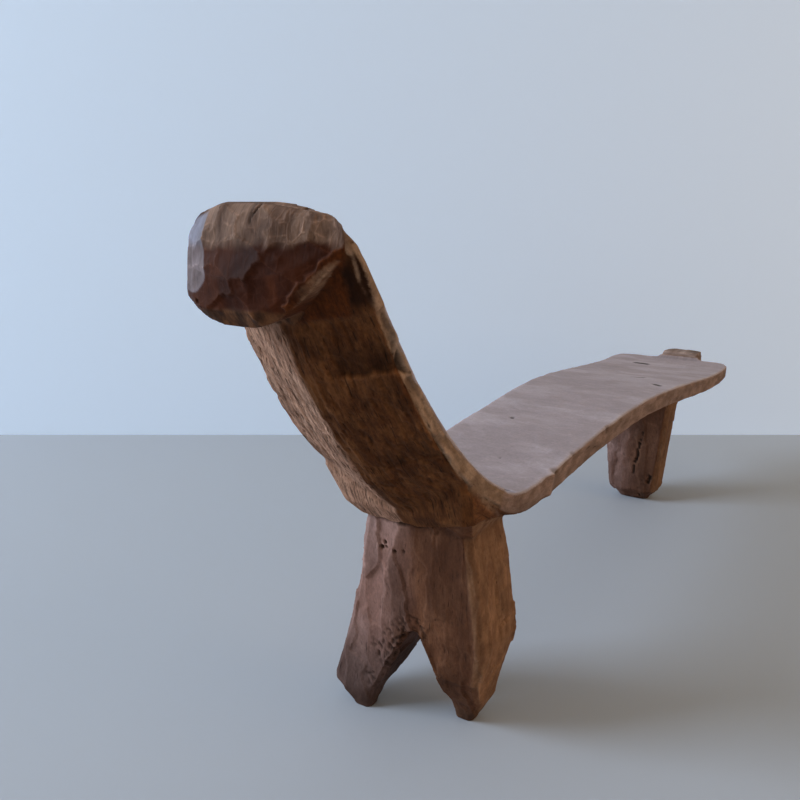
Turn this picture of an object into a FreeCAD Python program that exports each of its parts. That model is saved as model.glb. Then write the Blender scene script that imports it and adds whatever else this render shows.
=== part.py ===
"""A three-legged daybed carved from one block, drawn as its carved members.

Frame: +X runs from the head end to the foot end, +Y is the left of a person lying down, +Z is up.
The origin lies on the floor below the middle of the overall length. The sketches have a zero of their own,
on the floor below the forked leg, and every body is moved from there by the same shift.
"""
import FreeCAD, Part
import Sketcher
import math
import os
import re

# Sizes in millimetres, each written once
SIZES = {
    # The board from the side
    "back_run": 268,          # fork zero back to the top corner of the back's front face
    "back_rise": 351,         # lowest point of the seat up to that corner
    "hollow_height": 325,     # floor up to the lowest point of the seat's top
    "swell_rise": 24,         # rise of the seat's swell above the hollow
    "foot_drop": 42,          # fall from the swell to the foot end
    "seat_run": 1250,         # fork zero to the foot end of the board
    # The board from above
    "crest_width": 196,       # at the top of the back
    "crest_corner": 8,        # cut corners at the very top
    "back_width": 224,        # where the back meets the seat
    "seat_width": 290,
    "corner_radius": 38,      # rounded corners of the foot end
    # The board in section
    "crest_edge": 15,         # thickness of the board's sides at the top of the back
    "back_edge": 30,
    "seat_edge": 38,
    "foot_edge": 33,
    "keel_high": 41,          # depth of the back's keel under the headrest
    "keel_low": 65,           # depth of the keel above the fork
    "seat_belly": 45,         # depth of the seat at its middle
    "ridge_width": 22,
    "side_lean": 3,           # how far the sides draw in below the top face
    "arris": 4,               # worn edge
    # Headrest lobe, measured along the back and square to it
    "head_width": 196,
    "lobe_depth": 78,
    "lobe_length": 76,
    "lobe_crown": 30,         # rise of the lobe over the board's top corner
    # Forked leg
    "haunch_reach": 50,       # how far the leg runs up the underside of the back
    "fork_width": 164,        # across the daybed at the neck
    "fork_depth": 110,        # along the daybed at the neck
    "neck_drop": 34,          # from the lowest point of the seat's top down to the neck
    "notch_width": 212,
    "notch_depth": 113,
    "notch_height": 135,
    "fork_advance": 9,        # how far the leg leans towards the foot end
    "neck_shift": 6,          # how far the neck stands to the right
    "leg_arris": 11,          # broad adzed corner of a leg
    "left_swell": 34,         # how far the left prong swells out above its sole
    "right_swell": 1,
    "foot_gap": 106,          # clear width between the soles
    "prong_step": 51,         # how far the right foot stands ahead of the left one
    "sole_setback": 14,       # how far the soles' middle stands back from the joint of back and seat
    "sole_shift": 11,         # how far the soles' middle stands to the left
    "sole_length": 31,
    "sole_width": 30,
    # Tail leg
    "tail_inset": 228,        # foot end of the board back to the middle of the tail leg
    "tail_shift": 6,          # how far the tail leg stands to the left
    "tail_depth": 84,
    "tail_width": 171,
    "tail_taper": 55,         # how much narrower the leg is near the floor
    "tail_sole_length": 42,
    "tail_sole_width": 72,
    # End lug
    "lug_length": 70,
    "lug_width": 98,
    "lug_thickness": 37,
    "lug_rise": 11,           # how far the lug stands over the board's end
    "lug_shift": 19,          # how far the lug lies to the right
}

# Stations of the back from its top end down to the fork: shares of back_run, of back_rise, of the mean
# slope, and of the ways from crest_width to back_width, crest_edge to back_edge, keel_high to keel_low
BACK_STATION_SHARES = (
    (1.000, 1.000, 1.03, 0.00, 0.00, 0.0),
    (0.835, 0.803, 1.05, 0.05, 0.10, 0.0),
    (0.660, 0.595, 1.05, 0.32, 0.35, 0.3),
    (0.444, 0.385, 0.88, 0.72, 0.60, 0.5),
    (0.198, 0.211, 0.72, 0.96, 0.85, 0.8),
    (-0.091, 0.073, 0.42, 1.00, 1.00, 1.0),
)

# Stations of the seat beyond the fork: shares of seat_run, of swell_rise, of foot_drop, of the way from
# back_width to seat_width, and of the ways from the back's section to the seat's and from there to the end's
SEAT_STATION_SHARES = (
    (0.085, 0.07, 0.00, 0.00, 0.7, 0.0),
    (0.170, 0.24, 0.00, 0.03, 1.0, 0.0),
    (0.300, 0.72, 0.00, 0.14, 1.0, 0.0),
    (0.440, 1.00, 0.00, 0.36, 1.0, 0.0),
    (0.580, 1.00, 0.14, 0.66, 1.0, 0.0),
    (0.720, 1.00, 0.52, 0.87, 1.0, 0.1),
    (0.860, 1.00, 0.93, 1.00, 1.0, 0.4),
    (1.000, 1.00, 1.00, 0.94, 1.0, 1.0),
)

# Stations of the headrest lobe from right to left: shares of half of head_width, and of the lobe's depth,
# length and crown
LOBE_STATION_SHARES = (
    (-0.93, 0.24, 0.24, 0.40),
    (-0.62, 0.58, 0.52, 0.76),
    (-0.22, 0.92, 0.88, 0.96),
    (0.18, 1.00, 1.00, 1.00),
    (0.56, 0.96, 0.97, 0.97),
    (0.84, 0.80, 0.92, 0.80),
)
# Corners of the lobe in one station below its crown: shares of its length and of its depth there
LOBE_OUTLINE_SHARES = ((-0.16, 0.47), (0.16, 0.81), (0.52, 1.00), (0.79, 0.97), (1.00, 0.60))
LOBE_CROWN_SHARES = (1.15, 0.17)
# How deep a block's root lies in the board, as a share of the board's edge there
ROOT_SHARE = 0.5
# How far the lobe reaches back past the top corner, as a share of its depth
LOBE_REACH_SHARE = 0.55

# Stations of a prong below the notch: shares of notch_height, of the way of its outer face to the sole, of
# its swell, of the way of its inner face to the sole, and of the way of its depth to the sole
PRONG_STATION_SHARES = (
    (1.00, 0.00, 0.00, 0.00, 0.00),
    (0.58, 0.30, 0.60, 0.50, 0.18),
    (0.20, 0.62, 0.85, 0.92, 0.86),
    (0.00, 1.00, 0.00, 1.00, 1.00),
)
SOLE_ARRIS_SHARE = 0.6
# Stations of the forked leg's haunch: shares of the ways from inside the board down to the neck, in height,
# in depth and in width
HAUNCH_STATION_SHARES = ((0.00, 0.00, 0.00), (0.62, 0.55, 0.42), (1.00, 1.00, 1.00))
# Height of the tail leg's widest sole, as a share of hollow_height
TAIL_FOOT_SHARE = 0.07
TAIL_FALL_SHARE = 0.9
# Sections of the end lug: shares of its length, of its width and of its thickness
LUG_STATION_SHARES = ((0.00, 1.00, 1.00), (0.84, 0.94, 0.94), (1.00, 0.78, 0.73))

AXIS_X = FreeCAD.Vector(1, 0, 0)
AXIS_Y = FreeCAD.Vector(0, 1, 0)
AXIS_Z = FreeCAD.Vector(0, 0, 1)

MEAN_SLOPE = "atan2( back_rise ; back_run )"
JOINT_RUN = f"( 0 - {BACK_STATION_SHARES[-1][0]} * back_run )"
JOINT_HEIGHT = f"( hollow_height + {BACK_STATION_SHARES[-1][1]} * back_rise )"
JOINT_SLOPE = f"{BACK_STATION_SHARES[-1][2]} * {MEAN_SLOPE}"
TAIL_PLACE = "( seat_run - tail_inset )"
FRAME_SHIFT = f"( back_run + {LOBE_REACH_SHARE} * lobe_depth - seat_run - lug_length ) / 2"

doc = FreeCAD.newDocument("Daybed")


def fill_sheet():
    """Write every size into the document's sheet under its own name."""
    sheet = doc.addObject("Spreadsheet::Sheet", "Sizes")
    for row, (name, value) in enumerate(SIZES.items(), start=1):
        sheet.set(f"A{row}", name)
        sheet.set(f"B{row}", str(value))
        sheet.setAlias(f"B{row}", name)
    doc.recompute()


def bound(expression):
    """Point each size that an expression names at its cell."""
    return re.sub(r"[a-z_]+", lambda word: f"Sizes.{word[0]}" if word[0] in SIZES else word[0], expression)


def between(start, end, share):
    """The expression of a value that lies a share of the way from start to end."""
    return f"( ( {start} ) + {share} * ( ( {end} ) - ( {start} ) ) )"


def new_body(label):
    """Start a body that sits in the daybed's own frame."""
    body = doc.addObject("PartDesign::Body", label)
    body.Label = label
    body.setExpression("Placement.Base.x", bound(FRAME_SHIFT))
    return body


def new_sketch(body, role, place, axis, turn):
    """Attach a sketch to one of the body's planes, moved and turned there by expressions."""
    sketch = body.newObject("Sketcher::SketchObject", f"{body.Label}_section")
    plane = next(item for item in body.Origin.OriginFeatures if item.Role == role)
    sketch.AttachmentSupport = [(plane, "")]
    sketch.MapMode = "FlatFace"
    sketch.AttachmentOffset = FreeCAD.Placement(FreeCAD.Vector(), FreeCAD.Rotation(axis, 1))
    for direction, expression in zip("xyz", place):
        sketch.setExpression(f"AttachmentOffset.Base.{direction}", bound(expression))
    sketch.setExpression("AttachmentOffset.Rotation.Angle", bound(turn))
    return sketch


def size_of(expression):
    """Work an expression of sizes out, for the first place of a sketch's points."""
    return float(doc.getObject("Sizes").evalExpression(bound(expression)))


def draw_outline(sketch, corners):
    """Draw a closed outline whose corners are pairs of expressions, and hold each corner to its pair."""
    places = [FreeCAD.Vector(size_of(across), size_of(up), 0) for across, up in corners]
    for start, end in zip(places, places[1:] + places[:1]):
        sketch.addGeometry(Part.LineSegment(start, end), False)
    for index, (across, up) in enumerate(corners):
        before = (index - 1) % len(corners)
        sketch.addConstraint(Sketcher.Constraint("Coincident", before, 2, index, 1))
        hold(sketch, index, 1, "DistanceX", across)
        hold(sketch, index, 1, "DistanceY", up)


def hold(sketch, piece, point, kind, expression):
    """Tie one coordinate of a sketched point to its expression."""
    constraint = sketch.addConstraint(Sketcher.Constraint(kind, -1, 1, piece, point, size_of(expression)))
    sketch.setExpression(f"Constraints[{constraint}]", bound(expression))


def loft(body, sections, ruled):
    """Carve a body through its sections, straight from one to the next or in one flowing sweep."""
    carving = body.newObject("PartDesign::AdditiveLoft", f"{body.Label}_carving")
    carving.Profile = sections[0]
    carving.Sections = sections[1:]
    carving.Ruled = ruled
    return carving


def board_section(body, run, height, slope, half_width, edge, belly):
    """Draw the board's section: flat top, worn arrises, leaning sides and a keel."""
    sketch = new_sketch(body, "YZ_Plane", ("0", height, run), AXIS_X, slope)
    low_half = f"( {half_width} - side_lean )"
    side = [
        (f"{half_width} - arris", "0"),
        (half_width, "0 - arris"),
        (low_half, f"arris - {edge}"),
        (f"{low_half} - arris", f"0 - {edge}"),
        ("ridge_width / 2", f"0 - {belly}"),
    ]
    other_side = [(f"0 - ( {across} )", up) for across, up in reversed(side)]
    draw_outline(sketch, side + other_side)
    return sketch


def back_section(body, station, fall="0", inset="0"):
    """Draw the board's section at one station of the back, or a fall below it, with its sides drawn in."""
    run_share, rise_share, slope_share, width_share, edge_share, keel_share = BACK_STATION_SHARES[station]
    slope = f"{slope_share} * {MEAN_SLOPE}"
    run = f"{fall} * cos( {slope} ) - {run_share} * back_run"
    height = f"hollow_height + {rise_share} * back_rise - {fall} * sin( {slope} )"
    half_width = f"( {between('crest_width', 'back_width', width_share)} / 2 - {inset} )"
    edge = between("crest_edge", "back_edge", edge_share)
    keel = between("keel_high", "keel_low", keel_share)
    return board_section(body, run, height, slope, half_width, edge, keel)


def seat_section(body, station):
    """Draw the board's section at one station of the seat."""
    run_share, swell_share, drop_share, width_share, seat_share, end_share = SEAT_STATION_SHARES[station]
    run = f"{run_share} * seat_run"
    height = f"hollow_height + {swell_share} * swell_rise - {drop_share} * foot_drop"
    half_width = f"( {between('back_width', 'seat_width', width_share)} / 2 )"
    edge = between(between("back_edge", "seat_edge", seat_share), "foot_edge", end_share)
    belly = between(between("keel_low", "seat_belly", seat_share), "foot_edge", end_share)
    return board_section(body, run, height, "0", half_width, edge, belly)


def lobe_section(body, station):
    """Draw the headrest lobe's outline at one place across the back."""
    width_share, depth_share, length_share, crown_share = LOBE_STATION_SHARES[station]
    place = ("0 - back_run", "hollow_height + back_rise", f"0 - {width_share} * head_width / 2")
    sketch = new_sketch(body, "XZ_Plane", place, AXIS_Z, f"-{BACK_STATION_SHARES[0][2]} * {MEAN_SLOPE}")
    depth = f"{depth_share} * lobe_depth"
    crown = f"{crown_share} * lobe_crown"
    corners = [
        (f"0 - {crown}", "0 - arris / 2"),
        (f"0 - {LOBE_CROWN_SHARES[0]} * {crown}", f"0 - arris / 2 - {LOBE_CROWN_SHARES[1]} * {depth}"),
    ]
    for along_share, out_share in LOBE_OUTLINE_SHARES:
        corners.append((f"{along_share * length_share:.3f} * lobe_length", f"0 - {out_share} * {depth}"))
    corners.append((f"{length_share} * lobe_length", f"0 - {ROOT_SHARE} * crest_edge"))
    corners.append(("arris", f"0 - {ROOT_SHARE} * crest_edge"))
    draw_outline(sketch, corners)
    return sketch


def leg_section(body, place, lean, middle, half, arris):
    """Draw a leg's section: a block with broad adzed corners, given by its middle and half sizes."""
    sketch = new_sketch(body, "XY_Plane", place, AXIS_Y, lean)
    corners = []
    for along, across in ((1, 1), (-1, 1), (-1, -1), (1, -1)):
        pair = [
            (f"{middle[0]} + {along} * {half[0]}", f"{middle[1]} + {across} * ( {half[1]} - {arris} )"),
            (f"{middle[0]} + {along} * ( {half[0]} - {arris} )", f"{middle[1]} + {across} * {half[1]}"),
        ]
        corners += pair if along * across > 0 else pair[::-1]
    draw_outline(sketch, corners)
    return sketch


def scribe(label, block, boards):
    """Cut a leg's block to the boards that lie on it."""
    for board in boards:
        cut = doc.addObject("Part::Cut", f"{label}_scribed")
        cut.Base = block
        cut.Tool = board
        block = cut
    block.Label = label
    return block


def make_headrest():
    """The swelling across the top of the back, with the board's own end inside it."""
    body = new_body("headrest")
    top = back_section(body, 0, inset="crest_corner")
    shoulder = back_section(body, 0, fall="crest_corner")
    loft(body, [top, shoulder, back_section(body, 1)], True)
    loft(body, [lobe_section(body, station) for station in range(len(LOBE_STATION_SHARES))], False)
    return body


def make_backrest():
    """The raked board with its keel, from the headrest down to the fork."""
    body = new_body("backrest")
    loft(body, [back_section(body, station) for station in range(1, len(BACK_STATION_SHARES))], False)
    return body


def make_seat():
    """The long board from the fork to the foot end, with rounded end corners."""
    body = new_body("seat")
    joint = back_section(body, len(BACK_STATION_SHARES) - 1)
    loft(body, [joint] + [seat_section(body, station) for station in range(len(SEAT_STATION_SHARES))], False)
    doc.recompute()
    round_end_corners(body)
    return body


def round_end_corners(body):
    """Cut the two corners of the foot end round, seen from above."""
    sketch = new_sketch(body, "XY_Plane", ("seat_run", "0", "0"), AXIS_Z, "0")
    end_width = between("back_width", "seat_width", SEAT_STATION_SHARES[-1][3])
    reach = f"( {end_width} / 2 )"
    half = size_of(reach)
    radius = size_of("corner_radius")
    spare = size_of("corner_radius / 2")
    for side in (1, -1):
        first = sketch.GeometryCount
        start = FreeCAD.Vector(-radius, side * half)
        end = FreeCAD.Vector(0, side * (half - radius))
        outside = [FreeCAD.Vector(spare, end.y), FreeCAD.Vector(spare, side * (half + spare)),
                   FreeCAD.Vector(-radius, side * (half + spare))]
        circle = Part.Circle(FreeCAD.Vector(-radius, end.y), AXIS_Z, radius)
        turn = math.pi / 2
        sketch.addGeometry(Part.ArcOfCircle(circle, min(0, side * turn), max(0, side * turn)), False)
        arc_ends = (1, 2) if side > 0 else (2, 1)
        for line_start, line_end in zip([end] + outside, outside + [start]):
            sketch.addGeometry(Part.LineSegment(line_start, line_end), False)
        sketch.addConstraint(Sketcher.Constraint("Coincident", first, arc_ends[0], first + 1, 1))
        for line in range(first + 1, first + 4):
            sketch.addConstraint(Sketcher.Constraint("Coincident", line, 2, line + 1, 1))
        sketch.addConstraint(Sketcher.Constraint("Coincident", first + 4, 2, first, arc_ends[1]))
        hold(sketch, first, 3, "DistanceX", "0 - corner_radius")
        hold(sketch, first, 3, "DistanceY", f"{side} * ( {reach} - corner_radius )")
        hold(sketch, first, arc_ends[0], "DistanceX", "0")
        hold(sketch, first, arc_ends[0], "DistanceY", f"{side} * ( {reach} - corner_radius )")
        hold(sketch, first, arc_ends[1], "DistanceX", "0 - corner_radius")
        hold(sketch, first + 2, 1, "DistanceX", "corner_radius / 2")
        hold(sketch, first + 2, 1, "DistanceY", f"{side} * ( {reach} - corner_radius )")
        hold(sketch, first + 3, 1, "DistanceX", "corner_radius / 2")
        hold(sketch, first + 3, 1, "DistanceY", f"{side} * ( {reach} + corner_radius / 2 )")
        hold(sketch, first + 4, 1, "DistanceX", "0 - corner_radius")
        hold(sketch, first + 4, 1, "DistanceY", f"{side} * ( {reach} + corner_radius / 2 )")
    pocket = body.newObject("PartDesign::Pocket", "end_corners")
    pocket.Profile = sketch
    pocket.Type = "ThroughAll"
    pocket.Reversed = True


def make_end_lug():
    """The short grip beyond the foot end."""
    body = new_body("end_lug")
    height = "hollow_height + swell_rise - foot_drop + lug_rise - lug_thickness / 2"
    sections = []
    for run_share, width_share, thick_share in LUG_STATION_SHARES:
        place = ("0 - lug_shift", height, f"seat_run + {run_share} * lug_length")
        sketch = new_sketch(body, "YZ_Plane", place, AXIS_X, "0")
        half = f"( {width_share} * lug_width / 2 )"
        rise = f"( {thick_share} * lug_thickness / 2 )"
        upper = [(f"{half} - arris", rise), (half, f"{rise} - arris")]
        right = upper + [(across, f"0 - ( {up} )") for across, up in reversed(upper)]
        left = [(f"0 - ( {across} )", up) for across, up in reversed(right)]
        draw_outline(sketch, right + left)
        sections.append(sketch)
    loft(body, sections, True)
    return body


def make_fork_leg(back, board):
    """The forked leg's block down to its notch, flush with the board's sides and scribed to its underside."""
    body = new_body("fork_block")
    top_height = f"{JOINT_HEIGHT} - {ROOT_SHARE} * back_edge"
    sections = []
    for height_share, depth_share, width_share in HAUNCH_STATION_SHARES:
        half_depth = f"( {between('fork_depth + haunch_reach', 'fork_depth', depth_share)} / 2 )"
        half_width = between("back_width / 2 - side_lean", "fork_width / 2", width_share)
        middle = (between("0 - haunch_reach / 2", "fork_advance / 2", depth_share),
                  f"0 - {width_share} * neck_shift")
        place = (JOINT_RUN, "0", between(top_height, "hollow_height - neck_drop", height_share))
        lean = f"{1 - height_share:.2f} * {JOINT_SLOPE}"
        sections.append(leg_section(body, place, lean, middle, (half_depth, half_width), "leg_arris"))
    notch_half = ("( notch_depth / 2 )", "( notch_width / 2 )")
    place = (JOINT_RUN, "0", "notch_height")
    sections.append(leg_section(body, place, "0", ("fork_advance", "0"), notch_half, "leg_arris"))
    loft(body, sections, True)
    return scribe("fork_leg", body, (back, board))


def make_prong(label, side, swell):
    """One foot of the fork, from its half of the notch plane down to its sole."""
    body = new_body(label)
    sole_middle = f"( 0 - sole_setback - {side} * prong_step / 2 )"
    sections = []
    for height_share, outer_share, swell_share, inner_share, depth_share in PRONG_STATION_SHARES:
        outer = between(f"{side} * notch_width / 2", f"{side} * ( foot_gap / 2 + sole_width ) + sole_shift",
                        outer_share)
        outer = f"( {outer} + {side * swell_share} * {swell} )"
        inner = between("0", f"{side} * foot_gap / 2 + sole_shift", inner_share)
        middle = (between("fork_advance", sole_middle, depth_share), f"( ( {outer} + {inner} ) / 2 )")
        half_width = f"( {side} * ( {outer} - {inner} ) / 2 )"
        half_depth = f"( {between('notch_depth', 'sole_length', depth_share)} / 2 )"
        arris = between("leg_arris", f"{SOLE_ARRIS_SHARE} * leg_arris", depth_share)
        place = (JOINT_RUN, "0", f"{height_share} * notch_height")
        sections.append(leg_section(body, place, "0", middle, (half_depth, half_width), arris))
    loft(body, sections, True)
    return body


def make_tail_leg(board):
    """The plain tapered leg under the foot end, scribed to the underside of the seat."""
    body = new_body("tail_block")
    middle = ("0", "tail_shift")
    half_depth = "( tail_depth / 2 )"
    height = f"hollow_height + swell_rise - {TAIL_FALL_SHARE} * foot_drop - {ROOT_SHARE} * foot_edge"
    top_half = (half_depth, "( tail_width / 2 )")
    sections = [leg_section(body, (TAIL_PLACE, "0", height), "0", middle, top_half, "leg_arris")]
    foot_half = (half_depth, "( ( tail_width - tail_taper ) / 2 )")
    foot_place = (TAIL_PLACE, "0", f"{TAIL_FOOT_SHARE} * hollow_height")
    sections.append(leg_section(body, foot_place, "0", middle, foot_half, "leg_arris"))
    sole_half = ("( tail_sole_length / 2 )", "( tail_sole_width / 2 )")
    sections.append(leg_section(body, (TAIL_PLACE, "0", "0"), "0", middle, sole_half, "leg_arris"))
    loft(body, sections, True)
    return scribe("tail_leg", body, (board,))


fill_sheet()
headrest = make_headrest()
backrest = make_backrest()
seat = make_seat()
members = [headrest, backrest, seat, make_end_lug(), make_fork_leg(backrest, seat)]
members += [make_prong("left_foot", 1, "left_swell"), make_prong("right_foot", -1, "right_swell")]
members.append(make_tail_leg(seat))
doc.recompute()

for item in doc.Objects:
    if "Invalid" in item.State or "Error" in item.State:
        raise RuntimeError(f"{item.Label} did not build: {item.State}")
for member in members:
    if member.Shape.isNull() or not member.Shape.isValid() or len(member.Shape.Solids) != 1:
        raise RuntimeError(f"{member.Label} is not one sound solid")

os.makedirs("parts", exist_ok=True)
for member in members:
    member.Shape.exportStep(f"parts/{member.Label}.step")
    box = member.Shape.BoundBox
    print(f"{member.Label}: {member.Shape.Volume / 1e6:.3f} l, "
          f"X {box.XMin:.1f} to {box.XMax:.1f}, Y {box.YMin:.1f} to {box.YMax:.1f}, "
          f"Z {box.ZMin:.1f} to {box.ZMax:.1f}")
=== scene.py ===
"""The look of a three-legged daybed that is carved from one block of wood.

The members of the daybed are joined into one skin, which is carved, stained and cut back into one piece for
each member, so that adze marks, cracks and grain run over the joints as they do on one block. Lengths are in
metres. +X runs from the head end to the foot end, +Y is the left of a person lying down and +Z is up.
"""
import logging
import math
from dataclasses import dataclass, field
from enum import Enum

import bmesh
import bpy
import numpy as np
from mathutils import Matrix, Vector
from mathutils.bvhtree import BVHTree


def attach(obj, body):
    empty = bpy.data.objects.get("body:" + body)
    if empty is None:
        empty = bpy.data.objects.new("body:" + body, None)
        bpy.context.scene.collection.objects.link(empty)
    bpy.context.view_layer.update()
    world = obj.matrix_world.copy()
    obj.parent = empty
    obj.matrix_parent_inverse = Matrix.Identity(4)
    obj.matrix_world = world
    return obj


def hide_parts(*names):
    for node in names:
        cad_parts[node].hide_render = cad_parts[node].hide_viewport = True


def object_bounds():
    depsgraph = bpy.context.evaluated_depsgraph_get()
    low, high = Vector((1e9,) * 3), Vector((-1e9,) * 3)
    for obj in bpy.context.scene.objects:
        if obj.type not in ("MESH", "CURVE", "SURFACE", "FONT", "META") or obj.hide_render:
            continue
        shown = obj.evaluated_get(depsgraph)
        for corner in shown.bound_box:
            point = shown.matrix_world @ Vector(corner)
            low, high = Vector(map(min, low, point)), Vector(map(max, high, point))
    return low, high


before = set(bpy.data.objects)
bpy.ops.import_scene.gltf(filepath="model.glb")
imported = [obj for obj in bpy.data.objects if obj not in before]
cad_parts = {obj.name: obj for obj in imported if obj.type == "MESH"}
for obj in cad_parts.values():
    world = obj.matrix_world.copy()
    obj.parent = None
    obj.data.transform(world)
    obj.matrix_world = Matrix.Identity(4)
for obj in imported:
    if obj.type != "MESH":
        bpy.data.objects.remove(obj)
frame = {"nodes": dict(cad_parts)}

CAD_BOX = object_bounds()
MILLIMETRE = 0.001

logging.basicConfig(level=logging.INFO, format="%(levelname)s %(message)s")
log = logging.getLogger("daybed")

Place = tuple[float, float, float]
Colour = tuple[float, float, float]
# Where something starts, and where it is full
Fade = tuple[float, float]


class Slot(Enum):
    """The finishes, one material for each."""

    HEAD = "head_wood"
    BOARD = "board_wood"
    LEG = "leg_wood"


class Face(Enum):
    """The faces of the board, seen along its line."""

    TOP = "top"
    UNDER = "under"
    SIDE = "side"


class Sum(Enum):
    """The ways in which a shader joins two numbers."""

    PLUS = "ADD"
    MINUS = "SUBTRACT"
    TIMES = "MULTIPLY"
    OVER = "DIVIDE"
    LARGER = "MAXIMUM"


def ease(values: np.ndarray, low: float, high: float) -> np.ndarray:
    """Pass smoothly from 0 to 1 between two limits.

    Args:
        values: The numbers to compare with the limits.
        low: Where the result starts to leave 0.
        high: Where the result reaches 1. It may be lower than low, for a falling step.

    Returns:
        One number from 0 to 1 for each value.
    """
    share = np.clip((values - low) / (high - low), 0.0, 1.0)
    return share * share * (3.0 - 2.0 * share)


@dataclass(frozen=True)
class Noise:
    """Noise over points in space, the same on each run."""

    seed: int

    def scatter(self, cells: np.ndarray, channel: int) -> np.ndarray:
        """Give each whole-number cell an even number from 0 to 1.

        Args:
            cells: Whole numbers, three to a cell.
            channel: Which of the cell's numbers is wanted.

        Returns:
            One number for each cell.
        """
        mixed = cells[:, 0] * 73856093 + cells[:, 1] * 19349663 + cells[:, 2] * 83492791
        mixed = mixed + (self.seed * 31 + channel) * 2654435761
        mixed = (mixed ^ (mixed >> 13)) * 1274126177 & 0x7FFFFFFFFFFF
        mixed = (mixed ^ (mixed >> 17)) * 461845907 & 0x7FFFFFFFFFFF
        return ((mixed ^ (mixed >> 15)) & 0xFFFFF) / 0xFFFFF

    def smooth(self, points: np.ndarray) -> np.ndarray:
        """Swell gently from 0 to 1 over about one unit.

        Args:
            points: Places, in units of the swelling.

        Returns:
            One number for each point.
        """
        cells = np.floor(points).astype(np.int64)
        inside = points - cells
        inside = inside * inside * (3.0 - 2.0 * inside)
        total = np.zeros(len(points))
        for corner in np.ndindex(2, 2, 2):
            weight = np.prod(np.where(np.array(corner) == 1, inside, 1.0 - inside), axis=1)
            total += weight * self.scatter(cells + np.array(corner), 0)
        return total

    def rough(self, points: np.ndarray, layers: int = 3) -> np.ndarray:
        """Add ever finer layers of swelling.

        Args:
            points: Places, in units of the coarsest layer.
            layers: How many layers are added.

        Returns:
            One number for each point, about 0 to 1.
        """
        total = np.zeros(len(points))
        weights = 0.0
        for layer in range(layers):
            weight = 0.5 ** layer
            total += weight * Noise(self.seed + layer).smooth(points * 2.0 ** layer)
            weights += weight
        return total / weights

    def cells(self, points: np.ndarray) -> tuple[np.ndarray, np.ndarray, np.ndarray]:
        """Divide space into uneven cells of about one unit.

        Args:
            points: Places, in units of a cell.

        Returns:
            The distance to the nearest cell's middle, to the next one's, and the nearest cell's own number.
        """
        base = np.floor(points).astype(np.int64)
        nearest = np.full(len(points), 9.0)
        second = np.full(len(points), 9.0)
        own = np.zeros(len(points))
        for offset in np.ndindex(3, 3, 3):
            cell = base + np.array(offset) - 1
            inside = [0.1 + 0.8 * self.scatter(cell, channel) for channel in (1, 2, 3)]
            middle = cell + np.stack(inside, axis=1)
            distance = np.linalg.norm(points - middle, axis=1)
            closer = distance < nearest
            second = np.where(closer, nearest, np.minimum(second, distance))
            own = np.where(closer, self.scatter(cell, 4), own)
            nearest = np.where(closer, distance, nearest)
        return nearest, second, own


@dataclass(frozen=True)
class Waver:
    """An uneven swelling of a known size, for edges and surfaces that are not quite even."""

    seed: int
    size: float | Place
    layers: int = 3

    def at(self, places: np.ndarray) -> np.ndarray:
        """Give the swelling at each place, about 0 to 1."""
        return Noise(self.seed).rough(places / np.array(self.size), self.layers)


@dataclass(frozen=True)
class Texture:
    """A noise of a known size for the shader."""

    size: Place
    detail: float
    roughness: float


@dataclass(frozen=True)
class Crack:
    """An open crack along a line of places."""

    places: tuple[Place, ...]
    width: float
    depth: float
    stretch: Place = (1.0, 1.0, 1.0)
    shade: float = 1.0
    ragged: float = 0.8
    tear_share: float = 2.5
    least_share: float = 0.1
    steepness: float = 1.8

    def shares(self, points: np.ndarray) -> np.ndarray:
        """Work out how far each point lies inside the crack.

        Args:
            points: Places on the skin.

        Returns:
            1 in the middle of the crack and 0 outside it.
        """
        torn = 2.0 * Waver(len(self.places), self.tear_share * self.width).at(points) - 1.0
        widths = self.width * np.maximum(1.0 + 1.6 * self.ragged * torn, self.least_share)
        scale = np.array(self.stretch)
        best = np.zeros(len(points))
        for start, end in zip(self.places, self.places[1:]):
            first = np.array(start) * scale
            way = np.array(end) * scale - first
            offset = points * scale - first
            share = np.clip(offset @ way / (way @ way), 0.0, 1.0)
            distance = np.linalg.norm(offset - share[:, None] * way, axis=1)
            best = np.maximum(best, 1.0 - distance / widths)
        return np.clip(best * self.steepness, 0.0, 1.0)


@dataclass(frozen=True)
class Hole:
    """A small round hole or a nick."""

    place: Place
    radius: float
    depth: float
    shade: float = 1.0
    edge_shares: Fade = (1.15, 0.5)

    def shares(self, points: np.ndarray) -> np.ndarray:
        """Give 1 in the hole and 0 outside it."""
        distance = np.linalg.norm(points - np.array(self.place), axis=1)
        return ease(distance, self.radius * self.edge_shares[0], self.radius * self.edge_shares[1])


@dataclass(frozen=True)
class Chop:
    """A flat facet where one stroke took a corner off."""

    place: Place
    normal: Place

    def depths(self, points: np.ndarray) -> np.ndarray:
        """Work out how far each point stands out of the facet.

        Args:
            points: Places on the skin.

        Returns:
            The height above the facet, and 0 below it.
        """
        square = np.array(self.normal) / np.linalg.norm(self.normal)
        return np.maximum((points - np.array(self.place)) @ square, 0.0)


@dataclass(frozen=True)
class Decay:
    """A patch of crumbled wood, full of small pits."""

    place: Place
    radius: float
    depth: float
    pit: float
    shade: float
    pit_edge: Fade = (0.46, 0.68)
    core_share: float = 0.35

    def shares(self, points: np.ndarray) -> np.ndarray:
        """Work out how deep the pits are.

        Args:
            points: Places on the skin.

        Returns:
            1 in the deepest pits and 0 outside the patch.
        """
        distance = np.linalg.norm(points - np.array(self.place), axis=1)
        near = ease(distance, self.radius, self.radius * self.core_share)
        return near * ease(Waver(61, self.pit).at(points), *self.pit_edge)


Mark = Crack | Hole | Decay


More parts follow.
